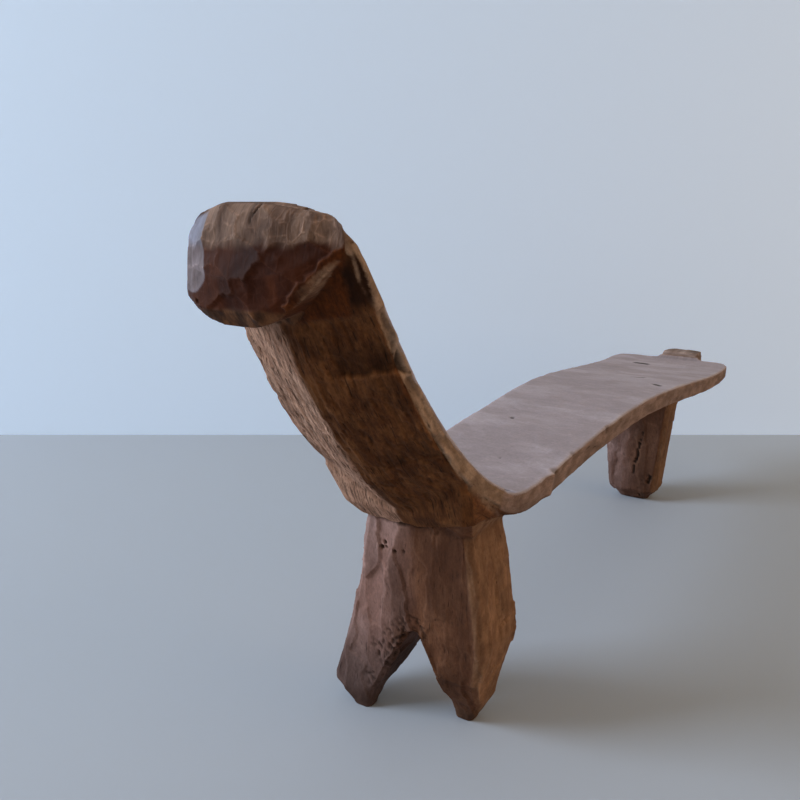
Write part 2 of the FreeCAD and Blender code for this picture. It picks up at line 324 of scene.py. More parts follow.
@dataclass(frozen=True)
class Stain:
    """The colours of one kind of face, and how slits, gloss and fibres show in it."""

    plain: Colour
    dark: Colour
    slits: float
    gloss: float
    fibres: float
    patch: float

    def colours(self, grain: np.ndarray, seed: int) -> np.ndarray:
        """Spread the two colours in uneven patches.

        Args:
            grain: Places along the grain.
            seed: Sets where the patches fall.

        Returns:
            One colour for each place.
        """
        patches = Noise(seed).rough(grain / np.array([2.0 * self.patch, self.patch, self.patch]), 4)
        share = ease(patches, 0.33, 0.67)[:, None]
        return np.array(self.plain) * (1.0 - share) + np.array(self.dark) * share


@dataclass
class Spine:
    """The middle line of the board's upper face, which the grain follows."""

    step: float = 0.03
    reach: float = 1.0
    line: np.ndarray = field(default_factory=lambda: np.zeros((0, 2)))

    def trace(self, nodes: dict[str, bpy.types.Object], names: tuple[str, ...]) -> None:
        """Follow the upper face of the named members from above.

        Args:
            nodes: The members' solids by name.
            names: The members that make the board.
        """
        places = []
        for run in np.arange(CAD_BOX[0][0] + 0.5 * self.step, CAD_BOX[1][0], self.step):
            heights = []
            for name in names:
                above = Vector((run, 0.0, self.reach))
                hit, place, _, _ = nodes[name].ray_cast(above, Vector((0.0, 0.0, -1.0)))
                if hit:
                    heights.append(place.z)
            if heights:
                places.append((run, max(heights)))
        self.line = np.array(places)

    def locate(self, points: np.ndarray) -> tuple[np.ndarray, np.ndarray]:
        """Give each point its place along the grain, and the grain's own angle there.

        Args:
            points: Places in the daybed's frame.

        Returns:
            The length along the line, the place across it and the height above it, and the line's angle.
        """
        flat = points[:, (0, 2)]
        best = np.full(len(points), 9.0)
        grain = np.zeros((len(points), 3))
        grain[:, 1] = points[:, 1]
        slope = np.zeros(len(points))
        passed = 0.0
        for start, end in zip(self.line, self.line[1:]):
            way = end - start
            size = float(np.linalg.norm(way))
            share = np.clip((flat - start) @ way / size ** 2, 0.0, 1.0)
            offset = flat - start - share[:, None] * way
            distance = np.linalg.norm(offset, axis=1)
            closer = distance < best
            best = np.where(closer, distance, best)
            grain[:, 0] = np.where(closer, passed + share * size, grain[:, 0])
            grain[:, 2] = np.where(closer, (offset @ np.array([-way[1], way[0]])) / size, grain[:, 2])
            slope = np.where(closer, math.atan2(way[1], way[0]), slope)
            passed += size
        return grain, slope


def read_vectors(collection: bpy.types.bpy_prop_collection, name: str, count: int) -> np.ndarray:
    """Read three numbers from each item of a collection.

    Args:
        collection: The mesh's own list, such as its vertices.
        name: The property to read.
        count: How many items there are.

    Returns:
        One row of three numbers for each item.
    """
    values = np.zeros(count * 3)
    collection.foreach_get(name, values)
    return values.reshape(-1, 3)


@dataclass
class Skin:
    """The surface of the whole block, as arrays of points, until it is cut into its members."""

    mesh: bpy.types.Mesh
    owners: np.ndarray
    names: list[str]
    spine: Spine
    # How softly the members meet, and what the points may not leave
    blend_rounds: int = 12
    side_stretch: float = 0.15
    sole_height: float = 1.5 * MILLIMETRE
    box_margin: float = 0.2 * MILLIMETRE
    full_relief: float = 0.6 * MILLIMETRE
    # The surface itself
    places: np.ndarray = field(init=False)
    normals: np.ndarray = field(init=False)
    edges: np.ndarray = field(init=False)
    faces: np.ndarray = field(init=False)
    grain: np.ndarray = field(init=False)
    slope: np.ndarray = field(init=False)
    # How far each point is cut in along its normal, and how far it moves besides
    depth: np.ndarray = field(init=False)
    shift: np.ndarray = field(init=False)
    # The stain's colour, its net of ridges, and how dark it is, which holds painted light and shade
    tone: np.ndarray = field(init=False)
    net: np.ndarray = field(init=False)
    shade: np.ndarray = field(init=False)
    # Three numbers each: slits, gloss and fibres, and relief, gap and rim
    traits: np.ndarray = field(init=False)
    marks: np.ndarray = field(init=False)
    # The share of each member in each point
    weights: dict[str, np.ndarray] = field(init=False)

    def __post_init__(self) -> None:
        """Read the mesh into arrays."""
        count = len(self.mesh.vertices)
        self.places = read_vectors(self.mesh.vertices, "co", count)
        self.normals = read_vectors(self.mesh.vertex_normals, "vector", count)
        edges = np.zeros(len(self.mesh.edges) * 2, dtype=np.int64)
        self.mesh.edges.foreach_get("vertices", edges)
        self.edges = edges.reshape(-1, 2)
        corners = np.zeros(len(self.mesh.loops), dtype=np.int64)
        self.mesh.loops.foreach_get("vertex_index", corners)
        self.faces = corners.reshape(-1, 4)
        self.grain, self.slope = self.spine.locate(self.places)
        crosswise = self.facing(Face.TOP) > 0.5
        self.grain[crosswise] = self.grain[crosswise][:, (1, 0, 2)]
        self.grain[self.facing(Face.SIDE) < 0.5, 2] *= self.side_stretch
        self.depth = np.zeros(count)
        self.shift = np.zeros((count, 3))
        self.tone = np.zeros((count, 3))
        self.net = np.zeros(count)
        self.shade = np.ones(count)
        self.traits = np.zeros((count, 3))
        self.marks = np.zeros((count, 3))
        self.weights = {name: self.spread((self.owners == index).astype(float), self.blend_rounds)
                        for index, name in enumerate(self.names)}

    def spread(self, values: np.ndarray, rounds: int) -> np.ndarray:
        """Even values out between neighbouring points.

        Args:
            values: One number, or one row of numbers, for each point.
            rounds: How often each point takes its neighbours' mean.

        Returns:
            The evened values.
        """
        first, second = self.edges[:, 0], self.edges[:, 1]
        count = len(self.owners)
        linked = np.bincount(first, minlength=count) + np.bincount(second, minlength=count)
        flat = values.reshape(count, -1).copy()
        for _ in range(rounds):
            for column in range(flat.shape[1]):
                total = np.bincount(first, flat[second, column], count)
                total += np.bincount(second, flat[first, column], count)
                flat[:, column] = 0.5 * flat[:, column] + 0.5 * total / linked
        return flat.reshape(values.shape)

    def facing(self, face: Face) -> np.ndarray:
        """Tell how far each point belongs to one face of the board.

        Args:
            face: The face that is asked for.

        Returns:
            1 on that face and 0 on the others.
        """
        up = self.normals[:, 2] * np.cos(self.slope) - self.normals[:, 0] * np.sin(self.slope)
        if face is Face.TOP:
            return ease(up, 0.35, 0.75)
        if face is Face.UNDER:
            return ease(up, -0.12, -0.3)
        return ease(np.abs(self.normals[:, 1]), 0.62, 0.86)

    def cut(self, depths: np.ndarray, weight: np.ndarray) -> None:
        """Cut the skin in by depths, where weight lets it."""
        self.depth += depths * weight

    def soften(self, weight: np.ndarray, rounds: int) -> None:
        """Round edges off.

        Args:
            weight: How far each point is reached.
            rounds: How often each point moves towards its neighbours.
        """
        self.shift += (self.spread(self.places, rounds) - self.places) * weight[:, None]

    def open(self, mark: Mark) -> None:
        """Open a crack, a hole or a patch of decay in the skin.

        Args:
            mark: What is opened.
        """
        share = mark.shares(self.places)
        self.depth += mark.depth * share
        self.marks[:, 1] = np.maximum(self.marks[:, 1], share * mark.shade)

    def stain(self, stain: Stain, weight: np.ndarray, seed: int) -> None:
        """Add a stain where weight lets it.

        Args:
            stain: The stain and the fine grain that goes with it.
            weight: One share for each point.
            seed: Sets where the stain's patches fall.
        """
        chosen = weight > 0.002
        share = weight[chosen][:, None]
        self.tone[chosen] += stain.colours(self.grain[chosen], seed) * share
        self.traits[chosen] += np.array([stain.slits, stain.gloss, stain.fibres]) * share

    def settle(self) -> None:
        """Move the points in by what was cut, keep them in the solids' box, and note ridges and hollows."""
        low, high = (np.array(corner) for corner in CAD_BOX)
        floor = self.places[:, 2] < self.sole_height
        moved = self.places + self.shift - self.normals * self.depth[:, None]
        moved[floor, 2] = self.places[floor, 2]
        low[:2] += self.box_margin
        self.places = np.clip(moved, low, high - self.box_margin)
        bulge = np.einsum("ij,ij->i", self.places - self.spread(self.places, 6), self.normals)
        self.marks[:, 0] = self.spread(bulge, 1) / self.full_relief
        # Apply the painted light and shade to the stain's colour
        self.tone *= self.shade[:, None]
        self.mesh.vertices.foreach_set("co", self.places.ravel())
        self.mesh.update()
        self.normals = read_vectors(self.mesh.vertex_normals, "vector", len(self.places))


@dataclass(frozen=True)
class Scoops:
    """The shallow bowls that an adze leaves, with a worn rim between each two."""

    length: float
    width: float
    depth: float
    seed: int
    waver: float = 0.5
    # The width and the wear of the rim, and how unlike two bowls are in painted light and shade, at random
    rim: float = 1.6 * MILLIMETRE
    rim_light: float = 1.0
    bowl_shading: float = 0.12
    waves: float = 3.5
    cross_waves: float = 1.2
    face_waves: float = 2.5
    # How far one stroke may lie below the next, and how deep and how wide a bowl is
    step: float = 0.0
    reach: float = 0.9
    least_depth: float = 0.55
    depth_spread: float = 0.9
    rim_reach: float = 2.2

    def work(self, skin: Skin, places: np.ndarray, weight: np.ndarray) -> None:
        """Cut the bowls into a skin, with slightly different painted shading for each.

        Args:
            skin: The skin that is cut.
            places: For each point its place along the strokes, across them and square to both.
            weight: How far each point is reached.
        """
        chosen = weight > 0.002
        share = weight[chosen]
        points = places[chosen] / np.array([self.length, self.width, self.width])
        waves = np.array([self.waves, self.cross_waves, self.cross_waves])
        drift = Noise(self.seed + 7).smooth(points * waves) - 0.5
        points[:, 1] += self.waver * drift
        self.cut(skin, chosen, share, Noise(self.seed).cells(points))

    def work_at(self, skin: Skin, places: np.ndarray, middles: tuple[Place, ...], weight: np.ndarray) -> None:
        """Cut bowls at known places into a skin.

        Args:
            skin: The skin that is cut.
            places: For each point its two places in the face.
            middles: For each bowl its two places in the face and its size.
            weight: How far each point is reached.
        """
        chosen = weight > 0.002
        unit = np.array([self.length, self.width])
        points = places[chosen] / unit
        flat = np.column_stack([points, points[:, 0]])
        drift = Noise(self.seed + 7).rough(flat * self.face_waves) - 0.5
        points += self.waver * drift[:, None]
        distances = np.stack([np.linalg.norm(points - np.array(middle[:2]) / unit, axis=1) / middle[2]
                              for middle in middles], axis=1)
        order = np.sort(distances, axis=1)
        own = Noise(self.seed).scatter(np.argmin(distances, axis=1)[:, None] * np.array([1, 3, 7]), 4)
        self.cut(skin, chosen, weight[chosen], (order[:, 0], order[:, 1], own))

    def cut(self, skin: Skin, chosen: np.ndarray, share: np.ndarray,
            cells: tuple[np.ndarray, np.ndarray, np.ndarray]) -> None:
        """Cut one bowl in each cell.

        Args:
            skin: The skin that is cut.
            chosen: Which points are reached.
            share: How far each of them is reached.
            cells: The distance to the nearest middle, to the next one's, and the cell's own number.
        """
        nearest, second, own = cells
        bowl = np.clip(1.0 - (nearest / self.reach) ** 2, 0.0, 1.0)
        depth = self.depth * (self.least_depth + self.depth_spread * own)
        skin.depth[chosen] += (depth * bowl + self.step * own) * share
        rim = ease((second - nearest) * self.width, self.rim_reach * self.rim, 0.0) * self.rim_light
        skin.marks[chosen, 2] = np.maximum(skin.marks[chosen, 2], rim * share)
        # Each bowl is made a little lighter or darker at random, as painted light and shade
        skin.shade[chosen] *= 1.0 + self.bowl_shading * 2.0 * (own - 0.5) * share


@dataclass
class Block:
    """The members' solids, joined into one skin of even facets."""

    # The facets' size, and how it changes along the daybed and at the head
    facet: float = 2.3 * MILLIMETRE
    calm_facet_share: float = 0.42
    calm_start: float = -0.42
    calm_way: float = 0.08
    width_runs: tuple[float, ...] = (-0.76, -0.71, -0.43, -0.33)
    width_shares: tuple[float, ...] = (1.45, 1.15, 1.15, 0.72)
    head_height: float = 0.57
    head_share: float = 1.45
    run_margin: float = 0.1
    run_steps: int = 20001
    evening_rounds: int = 9
    evening_pulls: tuple[float, float] = (0.5, -0.52)

    def squeeze(self, runs: np.ndarray) -> np.ndarray:
        """Shorten the seat for a while, so that it gets longer facets than the rest.

        Args:
            runs: Places along the daybed.

        Returns:
            The shortened places.
        """
        past = np.maximum(runs - self.calm_start, 0.0)
        eased = np.where(past < self.calm_way, past ** 2 / (2.0 * self.calm_way), past - 0.5 * self.calm_way)
        return runs - (1.0 - self.calm_facet_share) * eased

    def swell(self, places: np.ndarray) -> np.ndarray:
        """Swell the head and shorten the seat, so that an even net becomes finer at the head.

        Args:
            places: Places in the daybed's frame.

        Returns:
            Places in the swollen frame.
        """
        result = places.copy()
        result[:, 0] = self.squeeze(places[:, 0])
        result[:, 1] *= np.interp(places[:, 0], self.width_runs, self.width_shares)
        result[:, 2] += (self.head_share - 1.0) * np.maximum(places[:, 2] - self.head_height, 0.0)
        return result

    def shrink(self, places: np.ndarray) -> np.ndarray:
        """Undo the swelling.

        Args:
            places: Places in the swollen frame.

        Returns:
            Places in the daybed's frame.
        """
        result = places.copy()
        low, high = CAD_BOX[0][0] - self.run_margin, CAD_BOX[1][0] + self.run_margin
        table = np.linspace(low, high, self.run_steps)
        result[:, 0] = np.interp(places[:, 0], self.squeeze(table), table)
        result[:, 1] /= np.interp(result[:, 0], self.width_runs, self.width_shares)
        over = np.maximum(places[:, 2] - self.head_height, 0.0)
        result[:, 2] -= (1.0 - 1.0 / self.head_share) * over
        return result

    def gather(self) -> tuple[bpy.types.Mesh, BVHTree, list[int], list[str]]:
        """Join copies of the members' solids.

        Returns:
            The joined mesh, a tree of its faces, the member of each face, and the members' names.
        """
        names = sorted(frame["nodes"])
        joined = bmesh.new()
        owners: list[int] = []
        for index, name in enumerate(names):
            node = frame["nodes"][name]
            before = len(joined.verts)
            joined.from_mesh(node.data)
            joined.verts.ensure_lookup_table()
            bmesh.ops.transform(joined, matrix=node.matrix_world, verts=joined.verts[before:])
            owners += [index] * (len(joined.faces) - len(owners))
        tree = BVHTree.FromBMesh(joined)
        mesh = bpy.data.meshes.new("block")
        joined.to_mesh(mesh)
        joined.free()
        places = self.swell(read_vectors(mesh.vertices, "co", len(mesh.vertices)))
        mesh.vertices.foreach_set("co", places.ravel())
        return mesh, tree, owners, names

    def remesh(self, mesh: bpy.types.Mesh) -> bpy.types.Mesh:
        """Cover the joined solids with one even skin.

        Args:
            mesh: The joined solids.

        Returns:
            The skin as a mesh of its own.
        """
        holder = bpy.data.objects.new("block", mesh)
        bpy.context.scene.collection.objects.link(holder)
        modifier = holder.modifiers.new("even_skin", "REMESH")
        modifier.mode = "VOXEL"
        modifier.voxel_size = self.facet
        evened = holder.evaluated_get(bpy.context.evaluated_depsgraph_get())
        skin = bpy.data.meshes.new_from_object(evened)
        bpy.data.objects.remove(holder)
        bpy.data.meshes.remove(mesh)
        return skin

    def smooth(self, mesh: bpy.types.Mesh) -> None:
        """Take the steps out of the skin without shrinking it.

        Args:
            mesh: The skin.
        """
        count = len(mesh.vertices)
        places = self.shrink(read_vectors(mesh.vertices, "co", count))
        edges = np.zeros(len(mesh.edges) * 2, dtype=np.int64)
        mesh.edges.foreach_get("vertices", edges)
        first, second = edges.reshape(-1, 2).T
        linked = np.bincount(first, minlength=count) + np.bincount(second, minlength=count)
        on_floor = places[:, 2] < self.facet
        for pull in self.evening_pulls * self.evening_rounds:
            for column in range(3):
                values = places[:, column]
                mean = np.bincount(first, values[second], count) + np.bincount(second, values[first], count)
                places[:, column] = values + pull * (mean / linked - values)
        places[on_floor, 2] = np.maximum(places[on_floor, 2], 0.0)
        mesh.vertices.foreach_set("co", places.ravel())
        mesh.update()

    def skin(self) -> Skin:
        """Make the block's skin, with the member of each point.

        Returns:
            The skin, not yet carved.
        """
        joined, tree, face_owners, names = self.gather()
        mesh = self.remesh(joined)
        self.smooth(mesh)
        owners = np.zeros(len(mesh.vertices), dtype=np.int64)
        for vertex in mesh.vertices:
            _, _, face, _ = tree.find_nearest(vertex.co)
            owners[vertex.index] = face_owners[face]
        spine = Spine()
        spine.trace(frame["nodes"], ("headrest", "backrest", "seat"))
        return Skin(mesh, owners, names, spine)


class NodeMaker:
    """Short ways to add the nodes of one material."""

    def __init__(self, material: bpy.types.Material) -> None:
        """Start from the material's own shader.

        Args:
            material: The material that gets the nodes.
        """
        material.use_nodes = True
        self.tree = material.node_tree
        self.shader = next(node for node in self.tree.nodes if node.type == "BSDF_PRINCIPLED")

    def feed(self, target: bpy.types.NodeSocket, value: object) -> None:
        """Give an input a number, a colour or another node's output.

        Args:
            target: The input.
            value: A socket, a number or a row of numbers.
        """
        if isinstance(value, bpy.types.NodeSocket):
            self.tree.links.new(value, target)
        elif isinstance(value, tuple) and target.type == "RGBA":
            target.default_value = (*value, 1.0)
        else:
            target.default_value = value

    def attribute(self, name: str, output: str) -> bpy.types.NodeSocket:
        """Read one of the skin's own values.

        Args:
            name: The attribute's name.
            output: Which form of it is wanted.

        Returns:
            The socket that holds it.
        """
        node = self.tree.nodes.new("ShaderNodeAttribute")
        node.attribute_name = name
        return node.outputs[output]

    def split(self, vector: bpy.types.NodeSocket) -> list[bpy.types.NodeSocket]:
        """Take a vector's three numbers apart.

        Args:
            vector: The vector.

        Returns:
            One socket for each number.
        """
        node = self.tree.nodes.new("ShaderNodeSeparateXYZ")
        self.feed(node.inputs[0], vector)
        return list(node.outputs)

    def noise(self, vector: bpy.types.NodeSocket, texture: Texture) -> bpy.types.NodeSocket:
        """Add a noise texture.

        Args:
            vector: Where the noise is read.
            texture: Its size in each direction, and how many and how strong its finer layers are.

        Returns:
            The noise, from 0 to 1.
        """
        stretch = self.tree.nodes.new("ShaderNodeVectorMath")
        stretch.operation = "DIVIDE"
        self.feed(stretch.inputs[0], vector)
        self.feed(stretch.inputs[1], texture.size)
        node = self.tree.nodes.new("ShaderNodeTexNoise")
        self.feed(node.inputs["Vector"], stretch.outputs[0])
        node.inputs["Scale"].default_value = 1.0
        node.inputs["Detail"].default_value = texture.detail
        node.inputs["Roughness"].default_value = texture.roughness
        return node.outputs[0]

    def noise_vector(self, vector: bpy.types.NodeSocket, size: float) -> bpy.types.NodeSocket:
        """Add a noise that gives three numbers.

        Args:
            vector: Where the noise is read.
            size: How long its swellings are.

        Returns:
            The three numbers as one colour.
        """
        node = self.tree.nodes.new("ShaderNodeTexNoise")
        self.feed(node.inputs["Vector"], vector)
        node.inputs["Scale"].default_value = 1.0 / size
        node.inputs["Detail"].default_value = 1.0
        return node.outputs[1]

    def join(self, way: Sum, first: object, second: object, clamp: bool = False) -> bpy.types.NodeSocket:
        """Join two numbers.

        Args:
            way: How they are joined.
            first: A number or a socket.
            second: A number or a socket.
            clamp: Whether the result stays between 0 and 1.

        Returns:
            The result.
        """
        node = self.tree.nodes.new("ShaderNodeMath")
        node.operation = way.value
        node.use_clamp = clamp
        self.feed(node.inputs[0], first)
        self.feed(node.inputs[1], second)
        return node.outputs[0]

    def plus(self, first: object, second: object, clamp: bool = False) -> bpy.types.NodeSocket:
        """Add two numbers."""
        return self.join(Sum.PLUS, first, second, clamp)

    def minus(self, first: object, second: object) -> bpy.types.NodeSocket:
        """Take the second number from the first."""
        return self.join(Sum.MINUS, first, second)

    def times(self, first: object, second: object, clamp: bool = False) -> bpy.types.NodeSocket:
        """Multiply two numbers."""
        return self.join(Sum.TIMES, first, second, clamp)

    def larger(self, first: object, second: object, clamp: bool = False) -> bpy.types.NodeSocket:
        """Keep the larger of two numbers."""
        return self.join(Sum.LARGER, first, second, clamp)

    def mix(self, first: object, second: object, share: object) -> bpy.types.NodeSocket:
        """Mix two colours.

        Args:
            first: The colour where share is 0.
            second: The colour where share is 1.
            share: A number or a socket.

        Returns:
            The mixed colour.
        """
        node = self.tree.nodes.new("ShaderNodeMix")
        node.data_type = "RGBA"
        self.feed(node.inputs[0], share)
        self.feed(node.inputs[6], first)
        self.feed(node.inputs[7], second)
        return node.outputs[2]

    def swing(self, colour: object, noise: bpy.types.NodeSocket, contrast: object) -> bpy.types.NodeSocket:
        """Make a colour lighter and darker with a noise.

        Args:
            colour: The colour.
            noise: The noise, from 0 to 1.
            contrast: How far the colour swings, as a number or a socket.

        Returns:
            The uneven colour.
        """
        swing = self.times(self.minus(noise, 0.5), self.times(contrast, 4.0))
        node = self.tree.nodes.new("ShaderNodeVectorMath")
        node.operation = "SCALE"
        self.feed(node.inputs[0], colour)
        self.feed(node.inputs["Scale"], self.larger(self.plus(swing, 1.0), 0.05))
        return node.outputs[0]

    def bump(self, height: bpy.types.NodeSocket, strength: float, distance: float) -> bpy.types.NodeSocket:
        """Turn a height into a bent normal.

        Args:
            height: The height, from 0 to 1.
            strength: How much of it shows.
            distance: How high 1 stands.

        Returns:
            The bent normal.
        """
        node = self.tree.nodes.new("ShaderNodeBump")
        node.inputs["Strength"].default_value = strength
        node.inputs["Distance"].default_value = distance
        self.feed(node.inputs["Height"], height)
        return node.outputs[0]


@dataclass(frozen=True)
class CarvedWood:
    """Old hardwood: stained by the skin's own tone, with fibres, slits, specks, worn ridges and painted shade
    in hollows.
    """

    # The sizes of what shows in the wood
    fibres: Texture = Texture((0.024, 0.0026, 0.0026), 4.0, 0.62)
    mottles: Texture = Texture((0.020, 0.0085, 0.0085), 5.0, 0.62)
    specks: Texture = Texture((0.0046, 0.0026, 0.0026), 3.0, 0.6)
    long_slits: Texture = Texture((0.036, 0.0024, 0.0024), 1.0, 0.4)
    short_slits: Texture = Texture((0.013, 0.0015, 0.0015), 1.0, 0.4)
    # How often and how sharply slits open
    slit_limit: float = 0.78
    slit_limit_drop: float = 0.17
    slit_edge: float = 18.0
    slit_shade: float = 0.62
    # The net of thin ridges between small scrapes
    net_cell: float = 0.0095
    net_stretch: float = 1.4
    net_width: float = 0.09
    net_bend: float = 0.35
    net_break: float = 0.36
    net_edge: float = 5.0
    # How far the colour swings
    fibre_contrast: float = 0.24
    mottle_contrast: float = 0.08
    speck_contrast: float = 0.10
    fibrous_contrast: float = 0.26
    # Worn ridges, painted shade in hollows, and the dirt in gaps
    rim_base: float = 0.1
    relief_share: float = 0.45
    ridge_share: float = 0.62
    ridge_tint: Colour = (1.8, 1.8, 1.8)
    ridge_dust: Colour = (0.020, 0.014, 0.010)
    hollow_reach: float = -0.5
    hollow_shade_share: float = 0.45
    gap_share: float = 0.92
    shade: Colour = (0.016, 0.008, 0.004)
    # How high each of them stands
    fibre_height: float = 0.8
    mottle_height: float = 0.12
    fibrous_height: float = 0.6
    speck_height: float = 0.22
    ridge_height: float = 0.25
    bump_strength: float = 0.9
    bump_height: float = 1.6 * MILLIMETRE
    # How dull the wood is, and where it is polished
    dull: float = 0.92
    polish: float = 0.60
    mottle_dull: float = 0.14
    shine: float = 0.12

    def build(self, name: str) -> bpy.types.Material:
        """Make the material.

        Args:
            name: The material's name.

        Returns:
            The finished material.
        """
        material = bpy.data.materials.new(name)
        maker = NodeMaker(material)
        grain = maker.attribute("grain", "Vector")
        slits, gloss, fibrous = maker.split(maker.attribute("traits", "Vector"))
        relief, gap, rim = maker.split(maker.attribute("marks", "Vector"))
        fibres = maker.noise(grain, self.fibres)
        mottles = maker.noise(grain, self.mottles)
        specks = maker.noise(grain, self.specks)
        slit = maker.larger(self.slit_share(maker, grain, self.long_slits, slits),
                            self.slit_share(maker, grain, self.short_slits, slits))
        worn = maker.larger(maker.times(rim, maker.plus(mottles, self.rim_base)),
                            self.net_share(maker, grain, mottles))
        ridge = maker.larger(maker.times(relief, self.relief_share), worn, clamp=True)
        hollow_shade = maker.times(relief, self.hollow_reach, clamp=True)
        dark = maker.larger(gap, maker.times(slit, self.slit_shade), clamp=True)

        contrast = maker.times(fibrous, self.fibrous_contrast)
        colour = maker.attribute("tone", "Color")
        colour = maker.swing(colour, fibres, maker.times(fibrous, self.fibre_contrast))
        colour = maker.swing(colour, mottles, maker.plus(contrast, self.mottle_contrast))
        colour = maker.swing(colour, specks, maker.plus(contrast, self.speck_contrast))
        colour = self.lighten(maker, colour, ridge)
        # Painted shade in hollows, where the skin is concave
        colour = maker.mix(colour, self.shade, maker.times(hollow_shade, self.hollow_shade_share))
        colour = maker.mix(colour, self.shade, maker.times(dark, self.gap_share))

        height = maker.times(maker.times(fibres, fibrous), self.fibre_height)
        uneven = maker.plus(maker.times(fibrous, self.fibrous_height), self.mottle_height)
        height = maker.plus(height, maker.times(mottles, uneven))
        height = maker.plus(height, maker.times(specks, self.speck_height))
        height = maker.plus(height, maker.times(ridge, self.ridge_height))
        height = maker.minus(height, slit)

        roughness = maker.minus(self.dull, maker.times(gloss, self.polish))
        roughness = maker.plus(roughness, maker.times(mottles, self.mottle_dull), clamp=True)
        maker.feed(maker.shader.inputs["Base Color"], colour)
        maker.feed(maker.shader.inputs["Roughness"], roughness)
        maker.feed(maker.shader.inputs["Normal"], maker.bump(height, self.bump_strength, self.bump_height))
        maker.shader.inputs["Specular IOR Level"].default_value = self.shine
        return material

    def slit_share(self, maker: NodeMaker, grain: bpy.types.NodeSocket, texture: Texture,
                   slits: bpy.types.NodeSocket) -> bpy.types.NodeSocket:
        """Open slits where a long noise peaks.

        Args:
            maker: The material's nodes.
            grain: Places along the grain.
            texture: The noise, with the size of a slit.
            slits: How many slits there are, from 0 to 1.

        Returns:
            1 in a slit and 0 outside it.
        """
        peaks = maker.noise(grain, texture)
        limits = maker.minus(self.slit_limit, maker.times(slits, self.slit_limit_drop))
        return maker.times(maker.minus(peaks, limits), self.slit_edge, clamp=True)

    def net_share(self, maker: NodeMaker, grain: bpy.types.NodeSocket, mottles: bpy.types.NodeSocket
                  ) -> bpy.types.NodeSocket:
        """Draw the net of thin ridges between small scrapes.

        Args:
            maker: The material's nodes.
            grain: Places along the grain.
            mottles: A noise that breaks the net up.

        Returns:
            1 on a ridge of the net and 0 between.
        """
        bent = maker.tree.nodes.new("ShaderNodeVectorMath")
        bent.operation = "MULTIPLY_ADD"
        maker.feed(bent.inputs[0], maker.noise_vector(grain, self.net_cell))
        bent.inputs[1].default_value = (self.net_bend,) * 3
        stretch = maker.tree.nodes.new("ShaderNodeVectorMath")
        stretch.operation = "DIVIDE"
        maker.feed(stretch.inputs[0], grain)
        stretch.inputs[1].default_value = (self.net_cell, self.net_stretch * self.net_cell, self.net_cell)
        maker.feed(bent.inputs[2], stretch.outputs[0])
        cells = maker.tree.nodes.new("ShaderNodeTexVoronoi")
        cells.feature = "DISTANCE_TO_EDGE"
        cells.inputs["Scale"].default_value = 1.0
        maker.feed(cells.inputs["Vector"], bent.outputs[0])
        widths = maker.join(Sum.OVER, cells.outputs["Distance"], self.net_width)
        line = maker.join(Sum.MINUS, 1.0, widths, clamp=True)
        broken = maker.times(maker.minus(mottles, self.net_break), self.net_edge, clamp=True)
        return maker.times(maker.times(line, broken), maker.attribute("tone", "Alpha"))

    def lighten(self, maker: NodeMaker, colour: bpy.types.NodeSocket, ridge: bpy.types.NodeSocket
                ) -> bpy.types.NodeSocket:
        """Make worn ridges lighter than the wood beside them.

        Args:
            maker: The material's nodes.
            colour: The wood's colour.
            ridge: How far each place is worn.

        Returns:
            The colour with worn ridges.
        """
        worn = maker.tree.nodes.new("ShaderNodeVectorMath")
        worn.operation = "MULTIPLY_ADD"
        maker.feed(worn.inputs[0], colour)
        worn.inputs[1].default_value = self.ridge_tint
        worn.inputs[2].default_value = self.ridge_dust
        return maker.mix(colour, worn.outputs[0], maker.times(ridge, self.ridge_share))


BOARD_TOP = Stain(plain=(0.37, 0.305, 0.315), dark=(0.31, 0.250, 0.255),
                  slits=0.05, gloss=0.40, fibres=0.10, patch=0.05)
BOARD_SIDE = Stain(plain=(0.32, 0.200, 0.130), dark=(0.200, 0.118, 0.074),
                   slits=0.25, gloss=0.20, fibres=0.45, patch=0.009)
SEAT_SIDE = Stain(plain=(0.235, 0.150, 0.118), dark=(0.160, 0.098, 0.073),
                  slits=0.25, gloss=0.20, fibres=0.40, patch=0.009)
# The underside's two facets are lit and shaded copies of one brown: the left one lighter as painted window
# light, the right one darker as painted shade
BOARD_LIT = Stain(plain=(0.43, 0.240, 0.160), dark=(0.28, 0.145, 0.092),
                  slits=0.95, gloss=0.10, fibres=0.70, patch=0.026)
BOARD_SHADED = Stain(plain=(0.128, 0.047, 0.015), dark=(0.074, 0.024, 0.007),
                   slits=0.55, gloss=0.20, fibres=0.80, patch=0.011)
LEG_BACK = Stain(plain=(0.300, 0.176, 0.147), dark=(0.200, 0.106, 0.083),
                 slits=0.35, gloss=0.30, fibres=0.35, patch=0.030)
LEG_BARE = Stain(plain=(0.112, 0.045, 0.022), dark=(0.070, 0.025, 0.011),
                 slits=0.35, gloss=0.30, fibres=0.40, patch=0.026)
LEG_SIDE = Stain(plain=(0.230, 0.116, 0.061), dark=(0.165, 0.079, 0.041),
                 slits=0.35, gloss=0.20, fibres=0.30, patch=0.008)
LEG_SOLE = Stain(plain=(0.115, 0.055, 0.030), dark=(0.068, 0.031, 0.017),
                 slits=0.20, gloss=0.15, fibres=0.40, patch=0.020)
LUG_WOOD = Stain(plain=(0.255, 0.180, 0.150), dark=(0.165, 0.110, 0.088),
                 slits=0.20, gloss=0.20, fibres=0.40, patch=0.014)
HEAD_LOW = Stain(plain=(0.062, 0.014, 0.003), dark=(0.031, 0.006, 0.001),
                 slits=0.00, gloss=0.45, fibres=0.08, patch=0.025)
HEAD_HIGH = Stain(plain=(0.195, 0.116, 0.081), dark=(0.100, 0.054, 0.036),
                  slits=0.10, gloss=0.35, fibres=0.60, patch=0.012)
